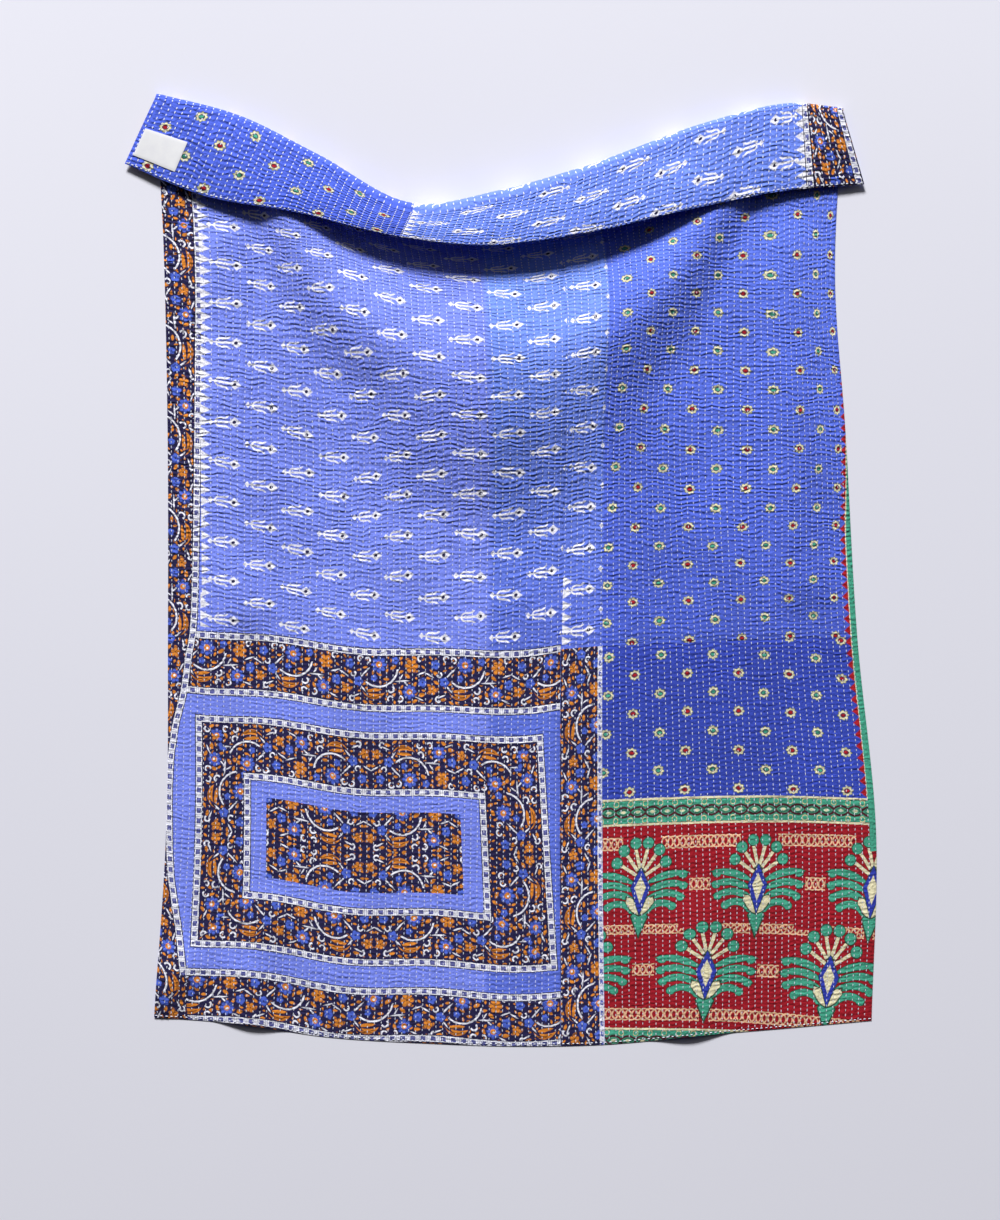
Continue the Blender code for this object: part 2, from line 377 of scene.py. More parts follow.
def face_patch(name, area):
    """A patch of the face over an area of the cloth: left, right, low and high edge."""
    left, right, low, high = area
    t_line = steps(low, min(high, BODY_LENGTH - 36), 10.0)
    if high > BODY_LENGTH:
        t_line = np.concatenate([t_line, steps(BODY_LENGTH - 30, high, 6.0)])
    patch, u, t, side = flat_patch(name, row_lines(left, right, 3.0), t_line)
    u = follow(u, t, area)
    rise = edge_rise(u, t, area)
    top = FACE_BOTTOM + 0.3 + (FACE_TOP - FACE_BOTTOM - 0.3) * rise + QUILT_RELIEF * puff(u, t) * rise
    set_cloth(patch, u, t, np.where(side > 0.5, top, FACE_BOTTOM))
    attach(patch, "root")
    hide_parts("quilt")
    return patch


LEFT_AREA = (0.0, 722.0, 0.0, CLOTH_LENGTH)
left_patch = face_patch("Left_face_patch", LEFT_AREA)


def oval(tree, place, x, y, long, wide, turn=0.0):
    """How far out a place is from the middle of an oval, as a share of its radius."""
    local = add(tree, "Mapping", place, (x, y, 0), (0, 0, turn), (long, wide, 1), vector_type="TEXTURE")
    return add(tree, "VectorMath", local, operation="LENGTH")


def leaf(tree, place, x, y, long, wide, turn=0.0):
    """The same for a leaf that is pointed at both ends."""
    size = (long / 0.8575, wide / 0.4855, 1)
    local = add(tree, "Mapping", place, (x, y, 0), (0, 0, turn), size, vector_type="TEXTURE")
    folded = add(tree, "VectorMath", local, operation="ABSOLUTE")
    return add(tree, "VectorMath", folded, (0, -0.5145, 0), operation="DISTANCE")


def diamond(tree, place, x, y, long, wide):
    """The same for a diamond."""
    local = add(tree, "Mapping", place, (x, y, 0), (0, 0, 0), (long, wide, 1), vector_type="TEXTURE")
    folded = add(tree, "VectorMath", local, operation="ABSOLUTE")
    return add(tree, "VectorMath", folded, (1, 1, 0), operation="DOT_PRODUCT")


def arc(tree, place, x, y, radius, half_width, middle, half_angle):
    """The same for a curved stroke: part of a ring, either side of the direction of its middle."""
    size = (radius, radius, 1)
    local = add(tree, "Mapping", place, (x, y, 0), (0, 0, middle), size, vector_type="TEXTURE")
    sharp = radius / half_width
    ring = add(tree, "VectorMath", local, operation="LENGTH")
    ring = add(tree, "Math", ring, sharp, -sharp, operation="MULTIPLY_ADD")
    ring = add(tree, "Math", ring, operation="ABSOLUTE")
    past_end = add(tree, "VectorMath", local, (-sharp, 0, 0), operation="DOT_PRODUCT")
    past_end = add(tree, "Math", past_end, 1 + sharp * float(np.cos(half_angle)), operation="ADD")
    return add(tree, "Math", ring, past_end, operation="MAXIMUM")


def crescent(tree, place, x, y, radius, turn):
    """The same for a curved leaf, cut from a disc by the edge of a wider one: thick, with two tips."""
    size = (radius, radius, 1)
    local = add(tree, "Mapping", place, (x, y, 0), (0, 0, turn), size, vector_type="TEXTURE")
    outer = add(tree, "VectorMath", local, operation="LENGTH")
    inner = add(tree, "VectorMath", local, (1.8, 0, 0), operation="DISTANCE")
    inner = add(tree, "Math", 3.4, inner, operation="SUBTRACT")
    return add(tree, "Math", outer, inner, operation="MAXIMUM")


def nearest(tree, shapes):
    """The smallest of several such distances, to print several shapes in one colour."""
    least = shapes[0]
    for shape in shapes[1:]:
        least = add(tree, "Math", least, shape, operation="MINIMUM")
    return least


def printed(tree, ground, distance, colour, edge=0.12, size=1.0):
    """The ground colour with a shape printed on it, up to this size of its distance."""
    mask = add(tree, "MapRange", distance, size + edge, size - edge, 0.0, 1.0)
    return add(tree, "Mix", mask, ground, colour, data_type="RGBA")


def cloth_place(tree, bleed=0.9):
    """u and t at a shaded point, a little irregular, because dye creeps along the threads."""
    place = add(tree, "Attribute", attribute_name="cloth").node.outputs["Vector"]
    creep = add(tree, "TexNoise", place, 0.16, 1.0, 0.6).node.outputs["Color"]
    creep = add(tree, "VectorMath", creep, (0.5, 0.5, 0.5), operation="SUBTRACT")
    creep = add(tree, "VectorMath", creep, (bleed * 2, bleed * 2, 0), operation="MULTIPLY")
    return add(tree, "VectorMath", place, creep, operation="ADD")


def split(tree, place):
    """The first two numbers of a place."""
    u = add(tree, "SeparateXYZ", place)
    return u, u.node.outputs[1]


def cells(tree, place, start, pitch, drop, stray, turn):
    """Places within the cells of a half-drop print, and a random number for each cell."""
    u, t = split(tree, place)
    column = add(tree, "Math", u, 1 / pitch[0], 0.5 - start[0] / pitch[0], operation="MULTIPLY_ADD")
    column = add(tree, "Math", column, operation="FLOOR")
    odd = add(tree, "Math", column, 2.0, operation="FLOORED_MODULO")
    lowered = add(tree, "Math", odd, drop, t, operation="MULTIPLY_ADD")
    row = add(tree, "Math", lowered, 1 / pitch[1], 0.5 - start[1] / pitch[1], operation="MULTIPLY_ADD")
    row = add(tree, "Math", row, operation="FLOOR")
    which = add(tree, "CombineXYZ", column, row, 0.0)
    chance = add(tree, "TexWhiteNoise", which).node.outputs["Color"]
    x = add(tree, "Math", column, -pitch[0], u, operation="MULTIPLY_ADD")
    y = add(tree, "Math", row, -pitch[1], lowered, operation="MULTIPLY_ADD")
    local = add(tree, "CombineXYZ", x, y, 0.0)
    off = add(tree, "VectorMath", chance, (stray * 2, stray * 2, 0), operation="MULTIPLY")
    local = add(tree, "VectorMath", local, off, operation="SUBTRACT")
    middle = (start[0] - stray, start[1] - stray, 0)
    local = add(tree, "VectorMath", local, middle, operation="SUBTRACT")
    spin = add(tree, "SeparateXYZ", chance).node.outputs[2]
    spin = add(tree, "Math", spin, 2 * turn, -turn, operation="MULTIPLY_ADD")
    local = add(tree, "VectorRotate", local, (0, 0, 0), spin, rotation_type="Z_AXIS")
    return local, odd, chance


# Heights in millimetres of the ripples that the stitches draw up, and of the soft creases
RIPPLE = 1.9
CREASE = 2.0


def cotton(name, print_colour):
    """Old sari cotton, plain woven and washed soft: matt, faintly slubbed, faded in clouds, with a sheen.

    print_colour(tree, place) gives the colour printed at a place of the cloth.
    """
    made, tree, shader = matte(name, 0.86, 0.25)
    place = cloth_place(tree)
    colour = print_colour(tree, place)
    straight = add(tree, "Attribute", attribute_name="cloth").node.outputs["Vector"]

    # Clouds of fading about 150 mm across, and slubs in the warp and weft 1 to 3 mm thick and 20 mm long
    cloud = add(tree, "TexNoise", straight, 0.007, 2.0, 0.55)
    cloud = add(tree, "MapRange", cloud, 0.3, 0.7, 0.9, 1.1)
    weft = add(tree, "Mapping", straight, (0, 0, 0), (0, 0, 0), (0.05, 0.7, 1))
    weft = add(tree, "TexNoise", weft, 1.0, 1.0, 0.5)
    warp = add(tree, "Mapping", straight, (0, 0, 0), (0, 0, 0), (0.7, 0.05, 1))
    warp = add(tree, "TexNoise", warp, 1.0, 1.0, 0.5)
    slub = add(tree, "Math", weft, warp, operation="ADD")
    shade = add(tree, "MapRange", slub, 0.7, 1.3, 0.9, 1.1)
    shade = add(tree, "Math", shade, cloud, operation="MULTIPLY")
    tone = add(tree, "HueSaturation", 0.5, 1.0, shade, 1.0, colour)
    tree.links.new(tone, shader.inputs["Base Color"])

    # Ripples drawn up by the running stitches, one to a stitch, strongest in patches, and the slubbed weave
    u, t = split(tree, straight)
    swell = add(tree, "TexNoise", straight, 0.016, 2.0, 0.6)
    wave = add(tree, "Math", swell, 30.0, t, operation="MULTIPLY_ADD")
    wave = add(tree, "Math", wave, float(np.pi) / STITCH_PITCH, operation="MULTIPLY")
    wave = add(tree, "Math", wave, operation="SINE")
    wave = add(tree, "Math", wave, wave, operation="MULTIPLY")
    patchy = add(tree, "Mapping", straight, (0, 0, 0), (0, 0, 0), (0.045, 0.07, 1))
    patchy = add(tree, "TexNoise", patchy, 1.0, 2.0, 0.6)
    patchy = add(tree, "MapRange", patchy, 0.36, 0.68, 0.0, RIPPLE)
    calmer = add(tree, "MapRange", t, 560.0, 900.0, 0.45, 1.0)
    patchy = add(tree, "Math", patchy, calmer, operation="MULTIPLY")
    ripple = add(tree, "Math", wave, patchy, operation="MULTIPLY")
    crease = add(tree, "Mapping", straight, (0, 0, 0), (0, 0, 0.06), (0.03, 0.16, 1))
    crease = add(tree, "TexNoise", crease, 1.0, 2.0, 0.6)
    ripple = add(tree, "Math", crease, CREASE, ripple, operation="MULTIPLY_ADD")
    height = add(tree, "Math", slub, 0.18, ripple, operation="MULTIPLY_ADD")
    bump = add(tree, "Bump", 1.0, MILLIMETRE, None, height)
    tree.links.new(bump, shader.inputs["Normal"])
    shader.inputs["Sheen Weight"].default_value = 0.12
    shader.inputs["Sheen Roughness"].default_value = 0.5
    return made


LILAC_BLUE = "7B8CF3"
CORNFLOWER = "5F74DE"
UPPER_FIELD_BLUE = "7796F8"
PRINT_WHITE = "F0EFFA"
NAVY = "1E1A48"


def blue_field(tree, place):
    """The ground of the sari: lilac-blue on the left, and bluer right of an old crease, there lighter higher
    up.
    """
    u, t = split(tree, place)
    # The blue right of the crease turns lighter from t 700 up to t 1380
    high = add(tree, "MapRange", t, 700.0, 1380.0, 0.0, 1.0)
    bluer = add(tree, "Mix", high, linear(CORNFLOWER), linear(UPPER_FIELD_BLUE), data_type="RGBA")
    beyond = add(tree, "MapRange", u, 582.0, 594.0, 0.0, 1.0)
    return add(tree, "Mix", beyond, linear(LILAC_BLUE), bluer, data_type="RGBA")


def tulip_motif(tree, place, ground, start, pitch, drop, teeth_at):
    """Small white motifs in a half-drop, each a pointed bud on a stem between two open prongs, with a foot.

    teeth_at gives the u of a row of white teeth at the edge of the field and its two ends, or None.
    """
    local = cells(tree, place, start, pitch, drop, 1.5, 0.12)[0]
    x, y = split(tree, local)
    y_up = add(tree, "Math", y, operation="ABSOLUTE")
    mirrored = add(tree, "CombineXYZ", x, y_up, 0.0)
    shapes = [
        diamond(tree, mirrored, 16.5, 0, 11, 8.6),
        leaf(tree, mirrored, -4, 0, 20, 2.0),
        leaf(tree, mirrored, -20, 0, 6, 1.3),
        arc(tree, mirrored, -11.5, 0, 6.6, 1.5, float(np.pi), 1.7),
        leaf(tree, mirrored, -5.5, 6.9, 9.0, 1.8, 0.04),
        leaf(tree, mirrored, 2.6, 8.6, 4.6, 1.5, 0.45),
        diamond(tree, mirrored, -26.5, 0, 4.6, 5.6),
    ]
    colour = printed(tree, ground, nearest(tree, shapes), linear(PRINT_WHITE))
    colour = printed(tree, colour, oval(tree, local, 15.5, 0, 3.4, 2.6, 0.5), linear(NAVY))
    if teeth_at is not None:
        base, down, up = teeth_at
        u, t = split(tree, place)
        step = add(tree, "Math", t, 20.0, 0.0, operation="WRAP")
        tooth = add(tree, "CombineXYZ", u, step, 0.0)
        tooth = diamond(tree, tooth, base, 10.0, 18.0, 8.6)
        right_of = add(tree, "Math", u, base, operation="LESS_THAN")
        outside = add(tree, "Math", t, (down + up) / 2, operation="SUBTRACT")
        outside = add(tree, "Math", outside, operation="ABSOLUTE")
        outside = add(tree, "Math", outside, (up - down) / 2, operation="GREATER_THAN")
        tooth = add(tree, "Math", right_of, 4.0, tooth, operation="MULTIPLY_ADD")
        tooth = add(tree, "Math", outside, 4.0, tooth, operation="MULTIPLY_ADD")
        colour = printed(tree, colour, tooth, linear(PRINT_WHITE), 0.1)
    return colour


def left_field(tree, place):
    """The field of the large patch, with a row of teeth at its left border."""
    ground = blue_field(tree, place)
    return tulip_motif(tree, place, ground, (104.0, 1326.0), (64.5, 69.0), 34.5, (59.0, 690.0, 1700.0))


# Floral print on navy: curved white stems and curls, scalloped blue flowers, orange petals, a large curved
# leaf and scattered small leaves. One block prints 158 mm of it, and the bands are about 90 mm wide.
FLORAL_REPEAT = 158.0
ORANGE = "DE872A"
BARK_BROWN = "7A3F1C"
FLOWER_BLUE = "4C66D0"
LARGE_FLOWERS = ((71, 70, 13.5, 8), (127, 22, 12, 8))  # x, y, radius, petals
PETAL_BUNCHES = ((131, 67, 11.5, 6), (11, 25, 8, 5))
BLOSSOMS = ((33, 39, 8.5, 5), (151, 38, 8.5, 5), (17, 69, 8, 5), (101, 77, 6.5, 5), (62, 46, 6, 5))
WHITE_STEMS = (  # x, y, half length, half width, turn
    (114, 41, 13, 1.4, 0.05), (121, 36, 7, 1.3, -0.75), (112, 48, 6, 1.2, 1.0), (44, 54, 14, 1.4, 0.79),
    (41, 28, 9, 1.3, -0.85), (149, 54, 9, 1.3, 0.35), (6, 51, 9, 1.3, -0.5), (164, 51, 9, 1.3, -0.5),
    (28, 14, 8, 1.3, 0.4), (145, 10, 8, 1.3, -0.4),
)
WHITE_ARCS = (  # x, y, radius, half width, direction of its middle, half angle
    (70, 67, 36, 1.5, -1.2, 1.05), (93, 27, 5.4, 1.5, -0.9, 1.9), (92, 10, 4.6, 1.4, 2.2, 1.9),
    (37, 79, 4.8, 1.4, 2.4, 2.1), (50, 77, 4.6, 1.4, 0.6, 2.1), (148, 80, 4.8, 1.4, 2.6, 2.1),
    (22, 9, 4.6, 1.4, -2.6, 2.1), (110, 10, 4.8, 1.4, -0.4, 2.1), (24, 52, 4.4, 1.3, -1.0, 2.1),
)
FEATHER = (62, 32, 23, 1.5)  # x, y, radius, turn
FEATHER_VEINS = ((62, 36, 22.5, 0.8, -1.6, 0.6), (62, 42, 31.0, 0.7, -1.65, 0.3))
FEATHER_LEAF = (61, 24.5, 16, 3.0, 0.12)  # x, y, half length, half width, turn
LEAF_PITCH = (FLORAL_REPEAT / 12, 12.4)
LEAF_STRAY = 2.6


def flower(tree, place, x, y, radius, petals):
    """Distance to a scalloped flower, distance to its middle, and 0 between petals to 1 on their middles."""
    local = add(tree, "Mapping", place, (x, y, 0), (0, 0, 0), (radius, radius, 1), vector_type="TEXTURE")
    middle = add(tree, "VectorMath", local, operation="LENGTH")
    across, up = split(tree, local)
    turned = add(tree, "Math", up, across, operation="ARCTAN2")
    turned = add(tree, "Math", turned, petals / 2, operation="MULTIPLY")
    lobe = add(tree, "Math", turned, operation="COSINE")
    lobe = add(tree, "Math", lobe, operation="ABSOLUTE")
    reach = add(tree, "Math", lobe, 0.26, 0.78, operation="MULTIPLY_ADD")
    return add(tree, "Math", middle, reach, operation="DIVIDE"), middle, lobe


def floral_print(tree, place, ground):
    """The floral block: place counts along the band and across it, from one of its striped lines."""
    place = add(tree, "VectorMath", place, (FLORAL_REPEAT, 200, 1), (0, -200, -1), operation="WRAP")
    blue, white, orange = linear(FLOWER_BLUE), linear(PRINT_WHITE), linear(ORANGE)
    half_drop = LEAF_PITCH[1] / 2
    scattered, _, chance = cells(tree, place, (6.6, 8.0), LEAF_PITCH, half_drop, LEAF_STRAY, float(np.pi))
    grown = add(tree, "SeparateXYZ", chance)
    grown = add(tree, "MapRange", grown, 0.0, 1.0, 0.95, 2.1)
    scattered = add(tree, "VectorMath", scattered, grown, operation="SCALE")
    colour = printed(tree, ground, leaf(tree, scattered, 0, 0, 6.8, 3.3), orange)
    feather = nearest(tree, [crescent(tree, place, *FEATHER), leaf(tree, place, *FEATHER_LEAF)])
    colour = printed(tree, colour, feather, ground, 0.03, 1.16)
    colour = printed(tree, colour, feather, orange, 0.03)
    veins = nearest(tree, [arc(tree, place, *values) for values in FEATHER_VEINS])
    colour = printed(tree, colour, veins, linear(BARK_BROWN))
    stems = nearest(tree, [leaf(tree, place, *values) for values in WHITE_STEMS])
    arcs = nearest(tree, [arc(tree, place, *values) for values in WHITE_ARCS])
    strokes = nearest(tree, [stems, arcs])
    colour = printed(tree, colour, strokes, ground, 0.15, 1.9)
    colour = printed(tree, colour, strokes, white, 0.15)
    for values in BLOSSOMS:
        shape, middle, _ = flower(tree, place, *values)
        colour = printed(tree, colour, shape, ground, 0.06, 1.2)
        colour = printed(tree, colour, shape, blue)
        colour = printed(tree, colour, middle, ground, 0.1, 0.16)
    brown = linear(BARK_BROWN)
    for flowers, petal_colour, gap, whole, moat, eye_colour, eye in (
        (PETAL_BUNCHES, orange, 0.22, 0.3, 1.15, brown, 0.18),
        (LARGE_FLOWERS, blue, 0.16, 0.5, 1.12, orange, 0.42),
    ):
        for values in flowers:
            shape, middle, lobe = flower(tree, place, *values)
            between = add(tree, "Math", lobe, gap, operation="LESS_THAN")
            outer = add(tree, "Math", middle, whole, operation="GREATER_THAN")
            slit = add(tree, "Math", between, outer, operation="MULTIPLY")
            colour = printed(tree, colour, shape, ground, 0.06, moat)
            shape = add(tree, "Math", slit, 3.0, shape, operation="MULTIPLY_ADD")
            colour = printed(tree, colour, shape, petal_colour)
            colour = printed(tree, colour, middle, eye_colour, 0.06, eye)
    for x, y, radius, petals in LARGE_FLOWERS:
        colour = printed(tree, colour, oval(tree, place, x + 1, y - 1, 2.2, 2.0), white)
    return colour


def block_stripe(tree, along, across, colour):
    """White striped line: navy edges, a row of navy blocks 18 mm apart, and thin lines between them."""
    off = add(tree, "Math", across, operation="ABSOLUTE")
    step = add(tree, "Math", along, 18.0, 0.0, operation="WRAP")
    step = add(tree, "Math", step, 9.0, operation="SUBTRACT")
    step = add(tree, "Math", step, operation="ABSOLUTE")
    band = add(tree, "Math", off, 7.2, operation="LESS_THAN")
    colour = add(tree, "Mix", band, colour, linear(NAVY), data_type="RGBA")
    white = add(tree, "Math", off, 5.6, operation="LESS_THAN")
    colour = add(tree, "Mix", white, colour, linear("F0F0F8"), data_type="RGBA")
    wide = add(tree, "Math", step, 4.4, operation="LESS_THAN")
    high = add(tree, "Math", off, 3.7, operation="LESS_THAN")
    block = add(tree, "Math", wide, high, operation="MULTIPLY")
    inside = add(tree, "Math", off, 2.2, operation="LESS_THAN")
    block_colour = add(tree, "Mix", inside, linear("2F3180"), linear("6468A6"), data_type="RGBA")
    colour = add(tree, "Mix", block, colour, block_colour, data_type="RGBA")
    line = add(tree, "Math", step, 7.0, 0.5, operation="COMPARE")
    line = add(tree, "Math", line, white, operation="MULTIPLY")
    line = add(tree, "Math", line, 0.6, operation="MULTIPLY")
    return add(tree, "Mix", line, colour, linear("6A70A8"), data_type="RGBA")


# Striped line between the left border and the field: its u at places up the cloth, as the patch was cut
BORDER_LINE = (
    (0, 60), (85, 46), (165, 31), (215, 20), (265, 11), (325, 6), (415, 4), (495, 11), (535, 19), (575, 29),
    (640, 38), (690, 46), (765, 49), (930, 52), (1350, 57), (1780, 58),
)
BAND_LINES = (678.25, 580.25, 86.75, 5.0)  # t of the middles of the striped lines across the patch
FRAME_BOXES = (  # middle u and t, half width and half height of the two frames and the centre
    (375.0, 334.0, 325.0, 204.0),
    (362.5, 328.0, 223.5, 111.0),
    (358.75, 327.0, 178.25, 70.0),
)


def box_sides(tree, place, box):
    """How far a place is outside the sides and the ends of a box, and outside the box."""
    local = add(tree, "VectorMath", place, (box[0], box[1], 0), operation="SUBTRACT")
    local = add(tree, "VectorMath", local, operation="ABSOLUTE")
    beside, above = split(tree, local)
    beside = add(tree, "Math", beside, box[2], operation="SUBTRACT")
    above = add(tree, "Math", above, box[3], operation="SUBTRACT")
    return beside, above, add(tree, "Math", beside, above, operation="MAXIMUM")


def choose(tree, mask, other, chosen):
    """The chosen place where the mask is 1, and the other place elsewhere."""
    return add(tree, "Mix", mask, other, chosen, data_type="VECTOR")


def bent(tree, value, low, high, pairs, bottom, top):
    """A smooth curve through pairs, for a value between low and high and readings between bottom and top."""
    share = add(tree, "MapRange", value, low, high, 0.0, 1.0, clamp=False)
    read = add(tree, "FloatCurve", 1.0, share)
    curve = read.node.mapping.curves[0]
    for at, reading in pairs[1:-1]:
        curve.points.new((at - low) / (high - low), (reading - bottom) / (top - bottom))
    for point, (at, reading) in ((curve.points[0], pairs[0]), (curve.points[-1], pairs[-1])):
        point.location = ((at - low) / (high - low), (reading - bottom) / (top - bottom))
    read.node.mapping.update()
    return add(tree, "Math", read, top - bottom, bottom, operation="MULTIPLY_ADD")


def left_borders(tree, place):
    """Border, bands and frames at the left edge and the lower end of the sari."""
    u, t = split(tree, place)
    sway = add(tree, "Math", u, 0.0215, 0.4, operation="MULTIPLY_ADD")
    sway = add(tree, "Math", sway, operation="SINE")
    t = add(tree, "Math", sway, 3.2, t, operation="MULTIPLY_ADD")
    line = bent(tree, t, 0.0, CLOTH_LENGTH, BORDER_LINE, 0.0, 100.0)
    beyond = add(tree, "Math", u, line, operation="SUBTRACT")
    on_border = add(tree, "Math", beyond, 0.0, operation="LESS_THAN")

    # The frames widen a little towards the hem
    drop = add(tree, "MapRange", t, 538.0, 130.0, 0.0, 1.0, clamp=False)
    left_side = add(tree, "Math", drop, 5.0, 50.0, operation="MULTIPLY_ADD")
    span = add(tree, "Math", drop, 23.0, 640.0, operation="MULTIPLY_ADD")
    share = add(tree, "Math", u, left_side, operation="SUBTRACT")
    share = add(tree, "Math", share, span, operation="DIVIDE")
    framed_u = add(tree, "Math", share, 650.0, 50.0, operation="MULTIPLY_ADD")
    framed = add(tree, "CombineXYZ", framed_u, t, 0.0)
    outer, inner, centre = [box_sides(tree, framed, box) for box in FRAME_BOXES]

    # Place along and across each floral band
    lower = add(tree, "Math", t, 560.0, operation="LESS_THAN")
    start = add(tree, "Math", lower, -583.0, 587.0, operation="MULTIPLY_ADD")
    band = add(tree, "CombineXYZ", u, add(tree, "Math", t, start, operation="SUBTRACT"), 0.0)
    border = add(tree, "CombineXYZ", t, add(tree, "Math", beyond, -1.0, operation="MULTIPLY"), 0.0)
    band = choose(tree, on_border, band, border)
    from_side = add(tree, "Math", framed_u, FRAME_BOXES[0][0], operation="SUBTRACT")
    from_side = add(tree, "Math", from_side, operation="ABSOLUTE")
    from_end = add(tree, "Math", t, FRAME_BOXES[0][1], operation="SUBTRACT")
    from_end = add(tree, "Math", from_end, operation="ABSOLUTE")
    at_side = add(tree, "Math", outer[0], outer[1], operation="GREATER_THAN")
    along = add(tree, "Mix", at_side, from_side, from_end, data_type="FLOAT")
    inwards = add(tree, "Math", outer[2], -1.0, -13.5, operation="MULTIPLY_ADD")
    ring = add(tree, "CombineXYZ", along, inwards, 0.0)
    in_frame = add(tree, "Math", outer[2], 0.0, operation="LESS_THAN")
    band = choose(tree, in_frame, band, ring)
    middle = add(tree, "VectorMath", framed, (FRAME_BOXES[2][0], FRAME_BOXES[2][1], 0), operation="SUBTRACT")
    middle = add(tree, "VectorMath", middle, operation="ABSOLUTE")
    in_centre = add(tree, "Math", centre[2], 0.0, operation="LESS_THAN")
    band = choose(tree, in_centre, band, middle)
    colour = floral_print(tree, band, linear(NAVY))

    # Plain blue between the bands, and round the centre
    field = blue_field(tree, place)
    above = add(tree, "Math", t, 678.0, operation="GREATER_THAN")
    between = add(tree, "Math", t, 333.5, operation="SUBTRACT")
    between = add(tree, "Math", between, operation="ABSOLUTE")
    between = add(tree, "Math", between, 247.0, operation="LESS_THAN")
    off_frame = add(tree, "Math", outer[2], 0.0, operation="GREATER_THAN")
    between = add(tree, "Math", between, off_frame, operation="MULTIPLY")
    off_centre = add(tree, "Math", centre[2], 0.0, operation="GREATER_THAN")
    in_inner = add(tree, "Math", inner[2], 0.0, operation="LESS_THAN")
    around = add(tree, "Math", off_centre, in_inner, operation="MULTIPLY")
    plain = add(tree, "Math", above, between, operation="MAXIMUM")
    off_border = add(tree, "Math", 1.0, on_border, operation="SUBTRACT")
    plain = add(tree, "Math", plain, off_border, operation="MULTIPLY")
    plain = add(tree, "Math", plain, around, operation="MAXIMUM")
    colour = add(tree, "Mix", plain, colour, field, data_type="RGBA")

    # Striped lines: the nearest one decides where a place is along and across it
    nearest_off = None
    for height in BAND_LINES:
        off = add(tree, "Math", t, height, operation="SUBTRACT")
        off = add(tree, "Math", off, operation="ABSOLUTE")
        off = add(tree, "Math", on_border, 100.0, off, operation="MULTIPLY_ADD")
        nearest_off = off if nearest_off is None else add(tree, "Math", nearest_off, off, operation="MINIMUM")
    along = u
    upright = add(tree, "Math", beyond, operation="ABSOLUTE")
    below = add(tree, "Math", t, 80.0, operation="LESS_THAN")
    upright = add(tree, "Math", below, 100.0, upright, operation="MULTIPLY_ADD")
    closer = add(tree, "Math", upright, nearest_off, operation="LESS_THAN")
    along = add(tree, "Mix", closer, along, t, data_type="FLOAT")
    nearest_off = add(tree, "Math", nearest_off, upright, operation="MINIMUM")
    for beside, end, outside in (outer, inner):
        off = add(tree, "Math", outside, 6.75, operation="ADD")
        off = add(tree, "Math", off, operation="ABSOLUTE")
        closer = add(tree, "Math", off, nearest_off, operation="LESS_THAN")
        at_side = add(tree, "Math", beside, end, operation="GREATER_THAN")
        here = add(tree, "Mix", at_side, framed_u, t, data_type="FLOAT")
        along = add(tree, "Mix", closer, along, here, data_type="FLOAT")
        nearest_off = add(tree, "Math", nearest_off, off, operation="MINIMUM")
    return block_stripe(tree, along, nearest_off, colour)


def part_faces(piece, inside):
    """Gives the second material to the faces whose middle u and t lie inside a region."""
    mesh = piece.data
    cloth = np.empty(len(mesh.vertices) * 3, np.float32)
    mesh.attributes["cloth"].data.foreach_get("vector", cloth)
    cloth = cloth.reshape(-1, 3)
    corners = np.empty(len(mesh.loops), np.int32)
    mesh.loops.foreach_get("vertex_index", corners)
    middles = cloth[corners].reshape(-1, 4, 3).mean(axis=1)
    mesh.polygons.foreach_set("material_index", inside(middles[:, 0], middles[:, 1]).astype(np.int32))
    mesh.update()


left_patch.data.materials.append(cotton("Lilac-blue printed sari cotton", left_field))
left_patch.data.materials.append(cotton("Floral bordered sari cotton", left_borders))
part_faces(left_patch, lambda u, t: (u < 60) | (t < 690))


# Narrow strip patch
# A second length of the same kind of sari, joined to the right of the large patch by a running seam.

STRIP_AREA = (722.5, 801.0, 0.0, CLOTH_LENGTH)
strip_patch = face_patch("Strip_face_patch", STRIP_AREA)

EDGE_WHITE = "E8E8F6"


def strip_print(tree, place):
    """The same blue and motifs above, and a floral border with a dashed white edge stripe below t 677."""
    u, t = split(tree, place)
    ground = blue_field(tree, place)
    upper = tulip_motif(tree, place, ground, (760.0, 1326.0), (64.5, 69.0), 34.5, (724.0, 685.0, 800.0))
    across = add(tree, "Math", u, -722.0, operation="ADD")
    border = floral_print(tree, add(tree, "CombineXYZ", t, across, 0.0), linear(NAVY))

    # Edge stripe 8 mm wide, with slanted navy dashes 9 mm apart
    edge = add(tree, "Math", u, 792.5, operation="GREATER_THAN")
    border = add(tree, "Mix", edge, border, linear(EDGE_WHITE), data_type="RGBA")
    slant = add(tree, "Math", u, 0.35, t, operation="MULTIPLY_ADD")
    slant = add(tree, "Math", slant, 9.0, operation="PINGPONG")
    dash = add(tree, "Math", slant, 5.0, operation="GREATER_THAN")
    inside = add(tree, "Math", u, 797.0, 2.6, operation="COMPARE")
    dash = add(tree, "Math", dash, inside, operation="MULTIPLY")
    border = add(tree, "Mix", dash, border, linear("5A66B8"), data_type="RGBA")
    below = add(tree, "Math", t, 677.0, operation="LESS_THAN")
    return add(tree, "Mix", below, upper, border, data_type="RGBA")


strip_patch.data.materials.append(cotton("Pale blue and floral sari cotton", strip_print))


# Upper right patch
# Deeper blue cotton with scalloped dots in rows, cut from another old sari.

UPPER_AREA = (801.5, WIDTH, 675.5, CLOTH_LENGTH)
upper_patch = face_patch("Upper_right_face_patch", UPPER_AREA)

